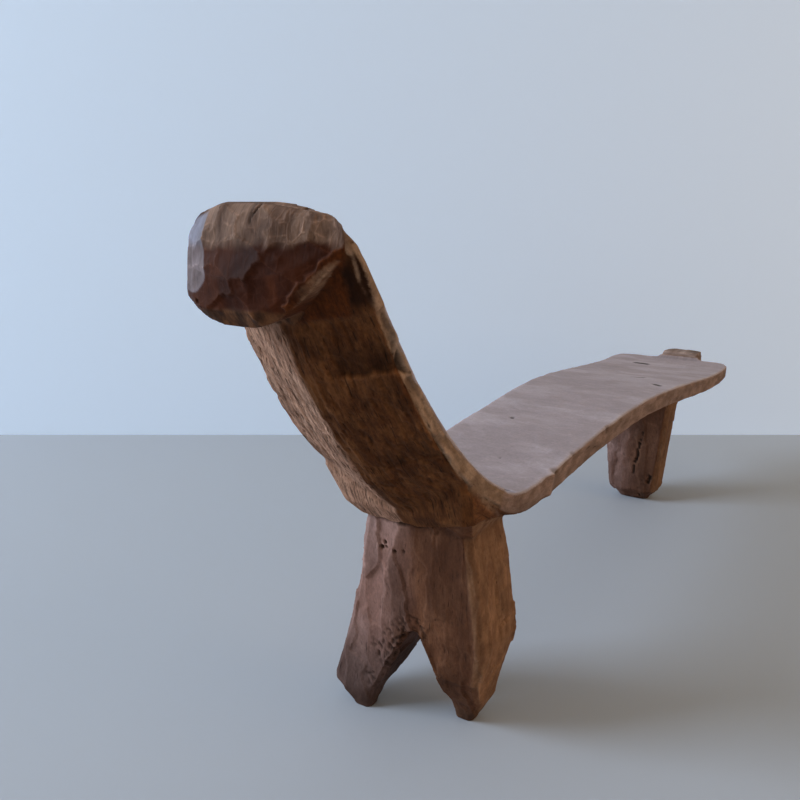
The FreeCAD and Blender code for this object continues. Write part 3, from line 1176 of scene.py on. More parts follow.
# A pale bluish painted sheen of the window on the cheek, and a softer painted sheen below it and on the left
# end
HEAD_CHEEK_SHEEN = Stain(plain=(0.205, 0.195, 0.240), dark=(0.165, 0.145, 0.165),
                   slits=0.05, gloss=0.65, fibres=0.10, patch=0.020)
HEAD_SOFT_SHEEN = Stain(plain=(0.22, 0.165, 0.165), dark=(0.14, 0.100, 0.095),
                   slits=0.05, gloss=0.50, fibres=0.20, patch=0.012)
HEAD_RIM = Stain(plain=(0.120, 0.050, 0.022), dark=(0.042, 0.018, 0.009),
                 slits=0.30, gloss=0.20, fibres=0.60, patch=0.008)
HEAD_SLOPE = Stain(plain=(0.080, 0.020, 0.003), dark=(0.046, 0.011, 0.002),
                   slits=0.20, gloss=0.20, fibres=1.00, patch=0.009)
# Painted shadow for the recess below the headrest's slope
HEAD_RECESS_SHADOW = Stain(plain=(0.030, 0.009, 0.002), dark=(0.020, 0.006, 0.002),
                    slits=0.20, gloss=0.10, fibres=0.60, patch=0.015)


# How far the keel's ridge lies to the left, and how the underside's painted light and painted shade meet
# along it
KEEL_SHIFT = 0.006
KEEL_EDGE = (-0.002, 0.003)
KEEL_WAVER = Waver(35, (0.05, 0.02, 0.02))
KEEL_WAVE = 0.010


def stain_board(skin: Skin, weight: np.ndarray, keel: float, edge: Stain = BOARD_SIDE) -> None:
    """Stain the four faces of the board, with painted light on the underside's left facet and painted shade
    on its right facet.

    Args:
        skin: The skin of the whole block.
        weight: The share of the member in each point.
        keel: How far the keel's ridge lies to the left.
        edge: The stain of the board's edges.
    """
    top = skin.facing(Face.TOP)
    side = skin.facing(Face.SIDE) * (1.0 - top)
    under = np.clip(1.0 - top - side, 0.0, 1.0)
    wave = KEEL_WAVE * (KEEL_WAVER.at(skin.grain) - 0.5)
    left = ease(skin.places[:, 1] + wave, keel + KEEL_EDGE[0], keel + KEEL_EDGE[1])
    skin.stain(BOARD_TOP, weight * top, 31)
    skin.stain(edge, weight * side, 32)
    # Painted window light on the underside's left facet, painted shade on its right facet
    skin.stain(BOARD_LIT, weight * under * left, 33)
    skin.stain(BOARD_SHADED, weight * under * (1.0 - left), 34)


@dataclass
class Member:
    """One carved member of the block."""

    name: str
    slot: Slot
    marks: tuple[Mark, ...] = ()

    def carve(self, skin: Skin) -> None:
        """Cut the member's marks into the skin.

        Args:
            skin: The skin of the whole block.
        """
        for mark in self.marks:
            skin.open(mark)

    def dye(self, skin: Skin) -> None:
        """Stain the member's faces, with painted light and shade on the underside's two facets.

        Args:
            skin: The skin of the whole block.
        """
        stain_board(skin, self.weight(skin), 0.0, SEAT_SIDE)

    def weight(self, skin: Skin) -> np.ndarray:
        """Give the member's share in each point of the skin."""
        return skin.weights[self.name]

    def build(self, skin: Skin, wood: bpy.types.Material) -> bpy.types.Object:
        """Cut the member out of the carved skin and close it where it was joined.

        Args:
            skin: The carved skin.
            wood: The finish.

        Returns:
            The member's piece.
        """
        owned = skin.faces[skin.owners[skin.faces].min(axis=1) == skin.names.index(self.name)]
        kept, corners = np.unique(owned, return_inverse=True)
        mesh = bpy.data.meshes.new(self.name)
        mesh.from_pydata(skin.places[kept].tolist(), [], corners.reshape(-1, 4).tolist())
        shell = bmesh.new()
        shell.from_mesh(mesh)
        bmesh.ops.holes_fill(shell, edges=[edge for edge in shell.edges if edge.is_boundary], sides=0)
        shell.faces.ensure_lookup_table()
        bmesh.ops.triangulate(shell, faces=shell.faces[len(owned):])
        shell.to_mesh(mesh)
        shell.free()
        self.write_values(mesh, skin, kept)
        self.write_normals(mesh, skin.normals[kept], len(owned))
        mesh.materials.append(wood)
        piece = bpy.data.objects.new(f"{self.name}_wood", mesh)
        bpy.context.scene.collection.objects.link(piece)
        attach(piece, "root")
        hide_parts(self.name)
        return piece

    def write_values(self, mesh: bpy.types.Mesh, skin: Skin, kept: np.ndarray) -> None:
        """Write the skin's grain, tone and marks on the member's points.

        Args:
            mesh: The member's mesh.
            skin: The carved skin.
            kept: For each point of the mesh, its point of the skin.
        """
        for name, values in (("grain", skin.grain), ("traits", skin.traits), ("marks", skin.marks)):
            layer = mesh.attributes.new(name, "FLOAT_VECTOR", "POINT")
            layer.data.foreach_set("vector", values[kept].ravel())
        tone = np.concatenate([skin.tone, skin.net[:, None]], axis=1)
        layer = mesh.attributes.new("tone", "FLOAT_COLOR", "POINT")
        layer.data.foreach_set("color", tone[kept].ravel())

    def write_normals(self, mesh: bpy.types.Mesh, normals: np.ndarray, outside: int) -> None:
        """Give the member the whole block's normals, so that no joint shows.

        Args:
            mesh: The member's mesh.
            normals: The skin's normal at each point of the mesh.
            outside: How many of the first faces belong to the skin.
        """
        mesh.polygons.foreach_set("use_smooth", np.ones(len(mesh.polygons), dtype=bool))
        corners = np.zeros(len(mesh.loops), dtype=np.int64)
        mesh.loops.foreach_get("vertex_index", corners)
        result = normals[corners]
        for polygon in mesh.polygons[outside:]:
            result[polygon.loop_start:polygon.loop_start + polygon.loop_total] = polygon.normal
        mesh.normals_split_custom_set(result)


@dataclass
class Headrest(Member):
    """The swelling across the top of the back."""

    name: str = "headrest"
    slot: Slot = Slot.HEAD
    # The rear face, which the facets cover
    rear_run: Fade = (-0.770, -0.792)
    right_end: Fade = (-0.097, -0.074)
    left_turn: Fade = (0.3, 0.8)
    # The slanting ridge on the right, in the rear face
    ridge_start: tuple[float, float] = (-0.087, 0.664)
    ridge_end: tuple[float, float] = (-0.023, 0.595)
    ridge_waver: Waver = Waver(8, 0.016)
    ridge_wave: float = 0.012
    ridge_edge: float = 0.002
    ridge_round: Fade = (0.010, 0.002)
    ridge_rounds: int = 16
    # The broad facets, with the middle and size of each
    facets: Scoops = Scoops(0.040, 0.030, 4.5 * MILLIMETRE, seed=3, waver=0.45, rim=0.9 * MILLIMETRE,
                            rim_light=1.3, bowl_shading=0.22, step=1.2 * MILLIMETRE)
    middles: tuple[Place, ...] = ((0.016, 0.651, 0.9), (0.046, 0.624, 0.9), (-0.020, 0.619, 1.15),
                                  (-0.049, 0.650, 0.95), (0.052, 0.651, 0.7), (0.022, 0.600, 0.8),
                                  (0.033, 0.676, 0.9), (-0.003, 0.677, 0.9), (-0.040, 0.677, 0.9),
                                  (-0.074, 0.674, 0.8), (0.070, 0.690, 0.9), (0.015, 0.698, 0.8),
                                  (-0.030, 0.699, 0.8))
    # The corner that is cut off on the left
    cheek: Chop = Chop((-0.8065, 0.056, 0.685), (-0.90, 0.40, 0.11))
    cheek_push: float = 4.0 * MILLIMETRE
    # The waves and the rounding of the crest, the small chips and the softened corners
    crest_lifts: tuple[tuple[float, float], ...] = ((-0.085, -0.0020), (-0.050, -0.0018), (-0.020, 0.0004),
                                                    (0.012, 0.0022), (0.040, 0.0015), (0.080, -0.0020))
    crest_rise: Fade = (0.650, 0.688)
    crest_round: float = 11.0 * MILLIMETRE
    crest_edge: Fade = (0.668, 0.704)
    chips: float = 1.2 * MILLIMETRE
    chip_waver: Waver = Waver(9, 0.011)
    corners: tuple[tuple[Place, float], ...] = (((-0.776, -0.094, 0.670), 0.032),
                                                ((-0.803, 0.077, 0.695), 0.024))
    corner_rounds: int = 60
    # Where the stains of the rear face meet
    band_edge: Fade = (0.657, 0.669)
    band_waver: Waver = Waver(16, 0.020, 4)
    band_wave: float = 0.020
    rim_edge: Fade = (0.603, 0.597)
    rim_net: float = 0.35
    edge_waver: Waver = Waver(10, 0.025, 2)
    edge_wave: float = 0.008
    # Where the painted sheen of the left end and of the cheek meets the other stains
    end_sheen_share: float = 0.45
    end_turn: Fade = (0.40, 0.95)
    end_raggedness: float = 30.0
    cheek_sheen_edge: Fade = (0.0, 0.0008)
    cheek_sheen_top: Fade = (0.694, 0.686)
    low_sheen_edge: Fade = (0.666, 0.654)
    # The right end, the lap over the board, and the slope with the painted shadow below it
    right_turn: Fade = (0.62, 0.84)
    lap_top: Fade = (0.690, 0.680)
    lap_run: Fade = (-0.788, -0.776)
    slope_widths: tuple[tuple[float, float], ...] = ((0.600, 0.030), (0.625, 0.018), (0.655, 0.005))
    recess_edge: float = 0.004
    recess_foot: Fade = (0.597, 0.612)
    marks: tuple[Mark, ...] = (
        Crack(((-0.799, -0.005, 0.702), (-0.804, -0.004, 0.694), (-0.806, 0.001, 0.686),
               (-0.808, 0.003, 0.678)), 0.0011, 0.002, ragged=0.3),
        Crack(((-0.783, -0.083, 0.646), (-0.776, -0.079, 0.636), (-0.771, -0.076, 0.626)),
              0.0022, 0.003, stretch=(0.3, 1.0, 1.0), ragged=0.4),
        Crack(((-0.786, -0.050, 0.702), (-0.795, -0.047, 0.692)), 0.0020, 0.004),
        Crack(((-0.780, -0.068, 0.697), (-0.790, -0.063, 0.684)), 0.0012, 0.002),
        Hole((-0.809, 0.068, 0.606), 0.0028, 0.005),
        Hole((-0.806, 0.073, 0.601), 0.0022, 0.004),
        Hole((-0.808, 0.064, 0.600), 0.0018, 0.004),
    )

    def past_ridge(self, skin: Skin) -> np.ndarray:
        """Measure how far each point lies below the slanting ridge on the right.

        Args:
            skin: The skin of the whole block.

        Returns:
            The distance in the head's own face, less than 0 on its left and above the ridge.
        """
        way = np.array(self.ridge_end) - np.array(self.ridge_start)
        square = np.array([way[1], -way[0]]) / np.linalg.norm(way)
        wave = self.ridge_wave * (self.ridge_waver.at(skin.places) - 0.5)
        return (skin.places[:, 1:] - np.array(self.ridge_start)) @ square + wave

    def carve(self, skin: Skin) -> None:
        """Cut the broad facets, take the left corner off and round the edges.

        Args:
            skin: The skin of the whole block.
        """
        own = self.weight(skin)
        rear = ease(skin.places[:, 0], *self.rear_run)
        weight = np.maximum(own * rear, own * (1.0 - skin.facing(Face.TOP)))
        weight = weight * ease(skin.places[:, 1], *self.right_end)
        past = self.past_ridge(skin)
        before = skin.depth.copy()
        faceted = weight * ease(past, self.ridge_edge, -self.ridge_edge)
        self.facets.work_at(skin, skin.places[:, 1:], self.middles, faceted)
        skin.cut(self.chips * self.chip_waver.at(skin.places), weight)
        skin.cut(self.cheek.depths(skin.places), weight)
        skin.cut(self.crest_round * ease(skin.places[:, 2], *self.crest_edge) ** 2, weight)
        skin.shift[:, 0] += skin.depth - before
        skin.depth = before
        skin.shift[:, 1] += self.cheek_push * ease(skin.normals[:, 1], *self.left_turn) * own
        across, lifts = np.array(self.crest_lifts).T
        high = ease(skin.places[:, 2], *self.crest_rise)
        skin.shift[:, 2] += np.interp(skin.places[:, 1], across, lifts) * high * own
        for place, reach in self.corners:
            near = np.linalg.norm(skin.places - np.array(place), axis=1)
            skin.soften(ease(near, reach, 0.5 * reach), self.corner_rounds)
        skin.soften(own * ease(np.abs(past), *self.ridge_round), self.ridge_rounds)
        super().carve(skin)

    def dye(self, skin: Skin) -> None:
        """Stain the dark lower part, the scraped band and the slope on the right, paint a pale sheen on the
        cheek and the left end, and paint shade in the recess below the slope.

        Args:
            skin: The skin of the whole block.
        """
        share = self.weight(skin)
        height = skin.places[:, 2]
        past = self.past_ridge(skin)
        side = ease(-skin.normals[:, 1], *self.right_turn) * ease(past, -self.recess_edge, self.recess_edge)
        lap = skin.facing(Face.TOP) * ease(height, *self.lap_top) * ease(skin.places[:, 0], *self.lap_run)
        wave = self.edge_wave * (self.edge_waver.at(skin.places) - 0.5)
        # The left end and the cheek face the window and get a painted sheen
        end_face_sheen = self.end_sheen_share * ease(skin.normals[:, 1] + self.end_raggedness * wave, *self.end_turn)
        cheek = ease(self.cheek.depths(skin.places), *self.cheek_sheen_edge) * ease(height, *self.cheek_sheen_top)
        low_cheek_sheen = cheek * ease(height, *self.low_sheen_edge)
        slope = ease(past, -self.ridge_edge, self.ridge_edge)
        heights, widths = np.array(self.slope_widths).T
        # The recess below the slope gets painted shade: the board's shaded colour, and a darker painted
        # shadow in its upper part
        recess_shade = slope * ease(past - np.interp(height, heights, widths), 0.0, self.recess_edge)
        shadow = recess_shade * ease(height, *self.recess_foot)
        rim = ease(height + wave, *self.rim_edge)
        ragged = self.band_wave * (self.band_waver.at(skin.places) - 0.5)
        high = ease(height + ragged, *self.band_edge)
        layers = ((side, BOARD_SIDE), (lap, BOARD_TOP), (shadow, HEAD_RECESS_SHADOW), (recess_shade, BOARD_SHADED),
                  (slope, HEAD_SLOPE), (low_cheek_sheen, HEAD_SOFT_SHEEN), (cheek, HEAD_CHEEK_SHEEN), (end_face_sheen, HEAD_SOFT_SHEEN),
                  (rim, HEAD_RIM), (high, HEAD_HIGH))
        for seed, (layer, stain) in enumerate(layers, start=21):
            skin.stain(stain, share * layer, seed)
            share = share * (1.0 - layer)
            if stain is HEAD_RIM:
                skin.net += share * (self.rim_net + (1.0 - self.rim_net) * high)
        skin.stain(HEAD_LOW, share, 30)


@dataclass
class Backrest(Member):
    """The raked board with its keel."""

    name: str = "backrest"
    slot: Slot = Slot.BOARD
    # Ledges across the underside, where a row of strokes stopped
    ledges: tuple[tuple[tuple[float, float], ...], ...] = (
        ((-0.120, 0.535), (-0.094, 0.534), (-0.075, 0.532), (-0.061, 0.526), (-0.040, 0.524)),
        ((-0.120, 0.430), (-0.103, 0.428), (-0.052, 0.410), (-0.020, 0.395)),
    )
    ledge_ends: tuple[float, ...] = (-0.026, -0.015)
    ledge_shares: tuple[float, ...] = (1.0, 0.35)
    ledge_depth: float = 4.5 * MILLIMETRE
    ledge_waver: Waver = Waver(14, 0.014)
    ledge_wave: float = 0.008
    ledge_run_out: float = 0.020
    ledge_rise: Fade = (0.0, 0.0025)
    ledge_fall: Fade = (0.060, 0.005)
    # A painted shadow in the strip just above each ledge: how dark it is, and where it starts and ends
    ledge_shadow: float = 0.45
    shadow_rise: Fade = (0.0, 0.003)
    shadow_fall: Fade = (0.045, 0.006)
    lip_place: float = 0.001
    lip_edge: Fade = (0.0030, 0.0005)
    lip_wear: float = 0.8
    # The strokes, the fuzz of raised fibres and the tears between them
    edge_strokes: Scoops = Scoops(0.045, 0.024, 3.0 * MILLIMETRE, seed=15, waver=0.6, rim=1.2 * MILLIMETRE,
                                  rim_light=0.3, bowl_shading=0.10)
    strokes: Scoops = Scoops(0.060, 0.030, 2.4 * MILLIMETRE, seed=11, waver=0.6, rim=1.2 * MILLIMETRE,
                             rim_light=0.25, bowl_shading=0.14)
    upper_share: float = 0.25
    fuzz: float = 2.4 * MILLIMETRE
    fuzz_waver: Waver = Waver(13, (0.030, 0.0070, 0.0070))
    tears: float = 1.6 * MILLIMETRE
    tear_waver: Waver = Waver(12, (0.014, 0.0040, 0.0040), 2)
    tear_edge: Fade = (0.50, 0.72)
    marks: tuple[Mark, ...] = (
        Hole((-0.709, -0.098, 0.541), 0.011, 0.002, shade=0.0),
        Hole((-0.688, -0.104, 0.518), 0.014, 0.003, shade=0.0),
        Hole((-0.640, -0.107, 0.446), 0.012, 0.004, shade=0.0),
        Hole((-0.622, -0.106, 0.421), 0.010, 0.003, shade=0.0),
    )

    def carve(self, skin: Skin) -> None:
        """Cut strokes, ledges and torn fibres into the underside.

        Args:
            skin: The skin of the whole block.
        """
        weight = self.weight(skin)
        under = skin.facing(Face.UNDER)
        self.strokes.work(skin, skin.grain, weight * (self.upper_share + (1.0 - self.upper_share) * under))
        skin.cut(self.fuzz * self.fuzz_waver.at(skin.grain), weight * under)
        skin.cut(self.tears * ease(self.tear_waver.at(skin.grain), *self.tear_edge), weight * under)
        self.edge_strokes.work(skin, skin.grain[:, (0, 2, 1)], weight * skin.facing(Face.SIDE))
        wave = self.ledge_wave * (self.ledge_waver.at(skin.places) - 0.5)
        for ledge, end, share in zip(self.ledges, self.ledge_ends, self.ledge_shares):
            across, heights = np.array(ledge).T
            past = skin.places[:, 2] - np.interp(skin.places[:, 1], across, heights) + wave
            reached = share * weight * under * ease(skin.places[:, 1], end, end - self.ledge_run_out)
            skin.cut(self.ledge_depth * ease(past, *self.ledge_rise) * ease(past, *self.ledge_fall), reached)
            # Paint shade just above the ledge, where the step would shade it
            painted_shade = ease(past, *self.shadow_rise) * ease(past, *self.shadow_fall) * reached
            skin.shade *= 1.0 - self.ledge_shadow * painted_shade
            lip = ease(np.abs(past + self.lip_place), *self.lip_edge) * reached
            skin.marks[:, 2] = np.maximum(skin.marks[:, 2], self.lip_wear * lip)
        super().carve(skin)

    def dye(self, skin: Skin) -> None:
        """Stain the board's faces, with painted light and shade on the underside's two facets."""
        stain_board(skin, self.weight(skin), KEEL_SHIFT)


@dataclass
class Seat(Member):
    """The long board that one lies on."""

    name: str = "seat"
    slot: Slot = Slot.BOARD
    strokes: Scoops = Scoops(0.070, 0.036, 1.2 * MILLIMETRE, seed=17, waver=0.8, rim=1.5 * MILLIMETRE,
                             rim_light=0.15, bowl_shading=0.05)
    edge_strokes: Scoops = Scoops(0.040, 0.020, 1.8 * MILLIMETRE, seed=19, waver=0.6, rim=1.5 * MILLIMETRE,
                                  rim_light=0.2, bowl_shading=0.10)
    waves: float = 1.2 * MILLIMETRE
    wave_waver: Waver = Waver(18, (0.06, 0.05, 0.05), 2)
    marks: tuple[Mark, ...] = (
        Crack(((-0.436, -0.100, 0.331), (-0.431, -0.086, 0.333)), 0.0036, 0.004),
        Crack(((0.632, 0.056, 0.307), (0.635, 0.034, 0.307)), 0.0100, 0.001, ragged=0.5),
        Crack(((0.342, -0.020, 0.335), (0.350, -0.038, 0.335)), 0.0080, 0.001, ragged=0.7),
        Crack(((0.459, 0.020, 0.326), (0.455, 0.004, 0.326)), 0.0075, 0.001, ragged=0.7),
        Crack(((0.259, -0.090, 0.340), (0.252, -0.101, 0.340)), 0.0070, 0.001, ragged=0.7),
        Crack(((-0.136, 0.047, 0.342), (-0.134, 0.036, 0.342)), 0.0014, 0.002),
        Crack(((-0.310, -0.016, 0.329), (-0.307, -0.030, 0.329)), 0.0018, 0.003),
        Hole((-0.316, -0.112, 0.328), 0.009, 0.0025, shade=0.2),
        Hole((-0.245, -0.112, 0.335), 0.007, 0.002, shade=0.2),
        Hole((-0.106, -0.118, 0.338), 0.009, 0.0025, shade=0.2),
    )

    def carve(self, skin: Skin) -> None:
        """Cut long shallow strokes and wear the edges.

        Args:
            skin: The skin of the whole block.
        """
        weight = self.weight(skin)
        edge = skin.facing(Face.SIDE)
        self.strokes.work(skin, skin.grain, weight * (1.0 - edge))
        self.edge_strokes.work(skin, skin.grain[:, (0, 2, 1)], weight * edge)
        skin.cut(self.waves * self.wave_waver.at(skin.grain), weight)
        super().carve(skin)


@dataclass
class EndLug(Member):
    """The short grip at the foot end."""

    name: str = "end_lug"
    slot: Slot = Slot.BOARD
    strokes: Scoops = Scoops(0.034, 0.026, 2.5 * MILLIMETRE, seed=23)
    rounds: int = 24
    crown: float = 5.0 * MILLIMETRE
    crown_start: Fade = (-0.118, -0.095)

    def carve(self, skin: Skin) -> None:
        """Cut a few strokes all round, round the outer end and crown the top.

        Args:
            skin: The skin of the whole block.
        """
        weight = self.weight(skin)
        self.strokes.work(skin, skin.grain, weight)
        skin.soften(weight, self.rounds)
        crowned = weight * skin.facing(Face.TOP) * ease(skin.places[:, 1], *self.crown_start)
        skin.shift[:, 2] += self.crown * crowned
        super().carve(skin)

    def dye(self, skin: Skin) -> None:
        """Stain the grip browner than the board."""
        skin.stain(LUG_WOOD, self.weight(skin), 46)


@dataclass
class Leg(Member):
    """A leg with broad upright adze strokes."""

    slot: Slot = Slot.LEG
    # The upright strokes and their ragged edges
    strokes: Scoops = Scoops(0.110, 0.025, 2.6 * MILLIMETRE, seed=29, waver=0.55, rim=0.9 * MILLIMETRE,
                             rim_light=0.5, bowl_shading=0.22, waves=7.0, step=2.6 * MILLIMETRE)
    stroke_start: Fade = (0.0, 0.014)
    tatters: float = 1.2 * MILLIMETRE
    tatter_waver: Waver = Waver(37, 0.009)
    # How full the right face is
    bulge: float = 0.0
    bulge_turn: Fade = (0.45, 0.75)
    bulge_rounds: int = 12
    bulge_foot: Fade = (0.020, 0.110)
    bulge_top: Fade = (0.300, 0.230)
    # How the foot widens above the sole, and how round it is
    ankle: float = 0.0
    ankle_foot: Fade = (0.001, 0.016)
    ankle_top: Fade = (0.085, 0.030)
    tip_height: float = 0.030
    tip_rounds: int = 40
    # Where the stains meet: right and left, dirt at the foot and painted shade towards the floor, the right
    # side and the bare wood
    middle: Fade = (0.010, -0.010)
    grime: float = 1.0
    grime_height: float = 0.032
    painted_shade: float = 0.52
    painted_shade_height: float = 0.150
    side_turn: Fade = (0.50, 0.78)
    side_start: Fade = (-0.010, -0.022)
    bare: float = 1.0
    bare_from: float = 0.050
    bare_to: float = -0.010
    bare_waver: Waver = Waver(44, (0.03, 0.03, 0.08))
    bare_wave: float = 0.05

    def above_neck(self, skin: Skin) -> np.ndarray:
        """Tell how far each point lies above the leg's own neck line, on the board."""
        return np.zeros(len(skin.places))

    def carve(self, skin: Skin) -> None:
        """Cut the upright strokes, fill the right face, round the foot and open the marks.

        Args:
            skin: The skin of the whole block.
        """
        weight = self.weight(skin)
        height = skin.places[:, 2]
        free = weight * ease(height, *self.stroke_start) * (1.0 - self.above_neck(skin))
        self.strokes.work(skin, skin.places[:, (2, 1, 0)], free)
        skin.cut(self.tatters * self.tatter_waver.at(skin.places), free)
        side = skin.spread(ease(-skin.normals[:, 1], *self.bulge_turn), self.bulge_rounds)
        skin.cut(-self.bulge * side * ease(height, *self.bulge_foot) * ease(height, *self.bulge_top), weight)
        owned = skin.owners == skin.names.index(self.name)
        sole = skin.places[owned & (height < skin.sole_height)]
        if len(sole):
            ankle = self.ankle * ease(height, *self.ankle_foot) * ease(height, *self.ankle_top) * weight
            skin.shift[:, :2] += (skin.places[:, :2] - sole.mean(axis=0)[:2]) * ankle[:, None]
            skin.soften(weight * ease(height, self.tip_height, 0.4 * self.tip_height), self.tip_rounds)
        super().carve(skin)

    def dye(self, skin: Skin) -> None:
        """Stain the leg's back, its sides and its dark foot, paint shade that darkens the leg towards the
        floor, and give the board above the neck its painted light and shade.

        Args:
            skin: The skin of the whole block.
        """
        above = self.above_neck(skin)
        share = self.weight(skin)
        height = skin.places[:, 2]
        right = ease(skin.places[:, 1], *self.middle)
        stain_board(skin, share * above * right, KEEL_SHIFT, BOARD_SHADED)
        stain_board(skin, share * above * (1.0 - right), KEEL_SHIFT, BOARD_LIT)
        share = share * (1.0 - above)
        free = (skin.owners == skin.names.index(self.name)) & (above < 0.5)
        skin.grain[free] = skin.places[free][:, (2, 1, 0)]
        low = ease(height, self.grime_height, 0.25 * self.grime_height) * self.grime
        # Painted shade: the leg is darkened towards the floor
        skin.shade *= 1.0 - self.painted_shade * share * ease(height, self.painted_shade_height, 0.3 * self.painted_shade_height)
        side = ease(-skin.normals[:, 1], *self.side_turn) * ease(skin.places[:, 1], *self.side_start)
        wave = self.bare_wave * (self.bare_waver.at(skin.places) - 0.5)
        bare = ease(skin.places[:, 1] + wave, self.bare_from, self.bare_to) * self.bare
        layers = ((low, LEG_SOLE), (side, LEG_SIDE), (bare, LEG_BARE))
        for seed, (layer, stain) in enumerate(layers, start=41):
            skin.stain(stain, share * layer, seed)
            share = share * (1.0 - layer)
        skin.stain(LEG_BACK, share, 45)


@dataclass
class ForkLeg(Leg):
    """The block of the forked leg under the bend."""

    name: str = "fork_leg"
    bulge: float = 5.0 * MILLIMETRE
    # The line round the neck, up to which the board's own faces run
    neck: tuple[tuple[float, float], ...] = ((-0.120, 0.319), (-0.085, 0.317), (-0.050, 0.304),
                                             (-0.014, 0.293), (0.030, 0.292), (0.070, 0.295),
                                             (0.090, 0.303), (0.120, 0.303))
    neck_fall: float = 0.29
    neck_turn: float = -0.52
    neck_edge: Fade = (-0.001, 0.003)
    marks: tuple[Mark, ...] = (
        Hole((-0.530, 0.042, 0.258), 0.0026, 0.006),
        Hole((-0.530, 0.047, 0.250), 0.0030, 0.006),
        Hole((-0.530, 0.040, 0.252), 0.0020, 0.005),
        Hole((-0.530, 0.026, 0.249), 0.0022, 0.005),
        Hole((-0.530, 0.013, 0.251), 0.0018, 0.005),
        Hole((-0.460, -0.100, 0.217), 0.0020, 0.005),
        Crack(((-0.446, -0.101, 0.206), (-0.438, -0.101, 0.203)), 0.0016, 0.004),
        Crack(((-0.540, 0.090, 0.303), (-0.535, 0.070, 0.295), (-0.532, 0.030, 0.292),
               (-0.532, -0.014, 0.293), (-0.530, -0.050, 0.304), (-0.525, -0.085, 0.317)),
              0.0034, 0.003, stretch=(0.3, 1.0, 1.0), shade=0.9),
        Crack(((-0.520, -0.090, 0.317), (-0.490, -0.098, 0.309), (-0.450, -0.100, 0.298),
               (-0.420, -0.098, 0.291)), 0.0030, 0.002, stretch=(1.0, 0.3, 1.0), shade=0.6),
        Decay((-0.524, 0.000, 0.140), 0.034, 0.0022, pit=0.0045, shade=0.7),
        Decay((-0.526, 0.022, 0.120), 0.034, 0.0022, pit=0.0045, shade=0.7),
    )

    def above_neck(self, skin: Skin) -> np.ndarray:
        """Tell how far each point lies above the neck line, where the board's own faces run on.

        Args:
            skin: The skin of the whole block.

        Returns:
            1 on the board and 0 on the leg.
        """
        across, heights = np.array(self.neck).T
        line = np.interp(skin.places[:, 1], across, heights)
        line -= self.neck_fall * np.maximum(skin.places[:, 0] - self.neck_turn, 0.0)
        return ease(skin.places[:, 2] - line, *self.neck_edge)


@dataclass
class Prong(Leg):
    """One foot of the fork."""

    name: str = "left_foot"
    grime: float = 0.3
    ankle: float = 0.14
    tip_height: float = 0.042
    painted_shade: float = 0.66
    marks: tuple[Mark, ...] = (
        Decay((-0.526, 0.040, 0.095), 0.036, 0.0022, pit=0.0045, shade=0.7),
        Decay((-0.526, 0.062, 0.050), 0.022, 0.0015, pit=0.0045, shade=0.6),
    )


@dataclass
class TailLeg(Leg):
    """The plain tapered leg near the foot end."""

    name: str = "tail_leg"
    bare_from: float = 0.080
    bare: float = 0.93
    grime: float = 0.0
    painted_shade: float = 0.27
    painted_shade_height: float = 0.350
    tip_height: float = 0.045
    marks: tuple[Mark, ...] = (
        Crack(((0.476, -0.014, 0.172), (0.476, -0.012, 0.152)), 0.0016, 0.004),
        Crack(((0.476, -0.010, 0.146), (0.476, -0.006, 0.128), (0.476, -0.005, 0.108),
               (0.476, -0.001, 0.096)), 0.0030, 0.008),
        Crack(((0.476, 0.001, 0.086), (0.476, 0.001, 0.076), (0.476, 0.004, 0.064)), 0.0021, 0.005),
        Crack(((0.476, -0.038, 0.066), (0.476, -0.036, 0.050)), 0.0034, 0.005),
        Crack(((0.478, -0.012, 0.032), (0.484, -0.015, 0.020), (0.488, -0.013, 0.006)), 0.0030, 0.006),
        Decay((0.476, -0.034, 0.058), 0.020, 0.002, pit=0.005, shade=0.6),
    )


@dataclass(frozen=True)
class Lamp:
    """A soft square lamp that looks at the daybed."""

    name: str
    place: Place
    size: float
    power: float
    colour: Colour
    aim: Place = (-0.3, 0.0, 0.35)

    def hang(self) -> None:
        """Hang the lamp in its place."""
        lamp = bpy.data.lights.new(self.name, "AREA")
        lamp.size = self.size
        lamp.energy = self.power
        lamp.color = self.colour
        holder = bpy.data.objects.new(self.name, lamp)
        holder.location = self.place
        way = Vector(self.aim) - Vector(self.place)
        holder.rotation_euler = way.to_track_quat("-Z", "Y").to_euler()
        bpy.context.scene.collection.objects.link(holder)


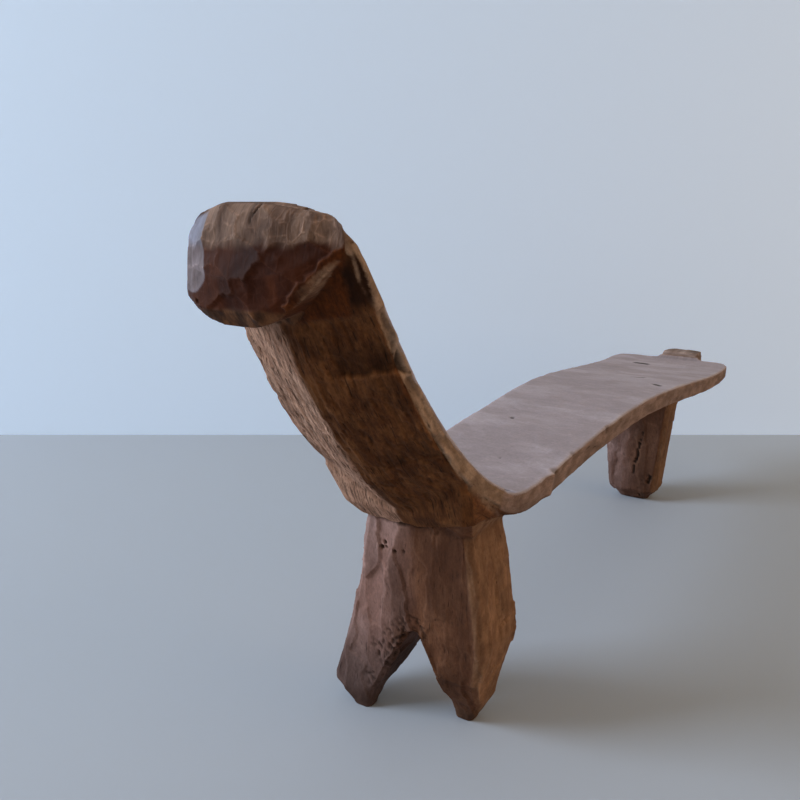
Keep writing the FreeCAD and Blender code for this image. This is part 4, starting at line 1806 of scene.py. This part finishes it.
@dataclass
class Studio:
    """A pale floor and wall, a broad cool light from the left and warm light all round."""

    eye: Place = (-1.3466, -0.510, 0.700)
    turn: float = 32.75
    dip: float = 14.0
    lens: float = 36.0
    film_width: float = 36.0
    wall_distance: float = 2.365
    wall_height: float = 5.0
    half_width: float = 8.0
    floor_length: float = 9.0
    roughness: float = 0.7
    floor_colour: Colour = (0.405, 0.425, 0.465)
    wall_colour: Colour = (0.82, 0.92, 1.0)
    # A bluish painted glow on the wall, seen by the camera alone
    wall_glow_colour: Colour = (0.0, 0.30, 1.0)
    wall_glow: float = 0.10
    air_colour: Colour = (1.0, 0.86, 0.68)
    air_strength: float = 0.42
    lamps: tuple[Lamp, ...] = (
        Lamp("window", (-4.6, 5.9, 4.0), size=3.6, power=690.0, colour=(0.67, 0.82, 1.0)),
        Lamp("room", (0.6, -3.4, 1.2), size=2.2, power=30.0, colour=(1.0, 0.70, 0.42)),
    )

    def place_camera(self) -> None:
        """Set the camera where the daybed is seen from."""
        camera = bpy.data.cameras.new("camera")
        camera.lens = self.lens
        camera.sensor_width = self.film_width
        holder = bpy.data.objects.new("camera", camera)
        holder.location = self.eye
        holder.rotation_euler = (math.radians(90.0 - self.dip), 0.0, math.radians(self.turn - 90.0))
        bpy.context.scene.collection.objects.link(holder)
        bpy.context.scene.camera = holder

    def lay(self, name: str, corners: list[Vector], colour: Colour, lift: float = 0.0) -> None:
        """Lay one flat sheet of the studio.

        Args:
            name: The sheet's name.
            corners: Its four corners.
            colour: Its plain colour.
            lift: How strongly the wall glows bluish for the camera alone, a painted glow.
        """
        mesh = bpy.data.meshes.new(name)
        mesh.from_pydata(corners, [], [(0, 1, 2, 3)])
        material = bpy.data.materials.new(name)
        maker = NodeMaker(material)
        maker.shader.inputs["Base Color"].default_value = (*colour, 1.0)
        maker.shader.inputs["Roughness"].default_value = self.roughness
        if lift > 0.0:
            # The wall glows for the camera alone: painted light
            seen = material.node_tree.nodes.new("ShaderNodeLightPath").outputs["Is Camera Ray"]
            maker.shader.inputs["Emission Color"].default_value = (*self.wall_glow_colour, 1.0)
            maker.feed(maker.shader.inputs["Emission Strength"], maker.times(seen, lift))
        mesh.materials.append(material)
        sheet = bpy.data.objects.new(name, mesh)
        bpy.context.scene.collection.objects.link(sheet)

    def build_room(self) -> None:
        """Lay the floor and stand the wall behind the foot end."""
        turn = math.radians(self.turn)
        ahead = Vector((math.cos(turn), math.sin(turn), 0.0))
        wide = Vector((math.sin(turn), -math.cos(turn), 0.0)) * self.half_width
        foot = Vector((self.eye[0], self.eye[1], 0.0)) + ahead * self.wall_distance
        near = ahead * -self.floor_length
        floor = [foot - wide, foot - wide + near, foot + wide + near, foot + wide]
        self.lay("floor", floor, self.floor_colour)
        up = Vector((0.0, 0.0, self.wall_height))
        wall = [foot - wide, foot + wide, foot + wide + up, foot - wide + up]
        self.lay("wall", wall, self.wall_colour, self.wall_glow)

    def build_light(self) -> None:
        """Hang the lamps and set the even light of the room."""
        for lamp in self.lamps:
            lamp.hang()
        world = bpy.data.worlds.new("room")
        world.use_nodes = True
        air = world.node_tree.nodes["Background"]
        air.inputs["Color"].default_value = (*self.air_colour, 1.0)
        air.inputs["Strength"].default_value = self.air_strength
        bpy.context.scene.world = world


def main() -> None:
    """Build the daybed and the studio round it."""
    skin = Block().skin()
    log.info("skin: %d points", len(skin.places))
    right_foot = Prong("right_foot", marks=(), bulge=ForkLeg.bulge, grime=1.0, painted_shade=0.10)
    members: list[Member] = [Headrest(), Backrest(), Seat(), EndLug(), ForkLeg(), Prong(), right_foot,
                             TailLeg()]
    for member in members:
        member.carve(skin)
        member.dye(skin)
    skin.settle()
    woods = {slot: CarvedWood().build(slot.value) for slot in Slot}
    for member in members:
        piece = member.build(skin, woods[member.slot])
        log.info("%s: %d faces", piece.name, len(piece.data.polygons))
    bpy.data.meshes.remove(skin.mesh)
    studio = Studio()
    studio.place_camera()
    studio.build_room()
    studio.build_light()
    bpy.context.scene.view_settings.view_transform = "Standard"


if __name__ == "__main__":
    main()
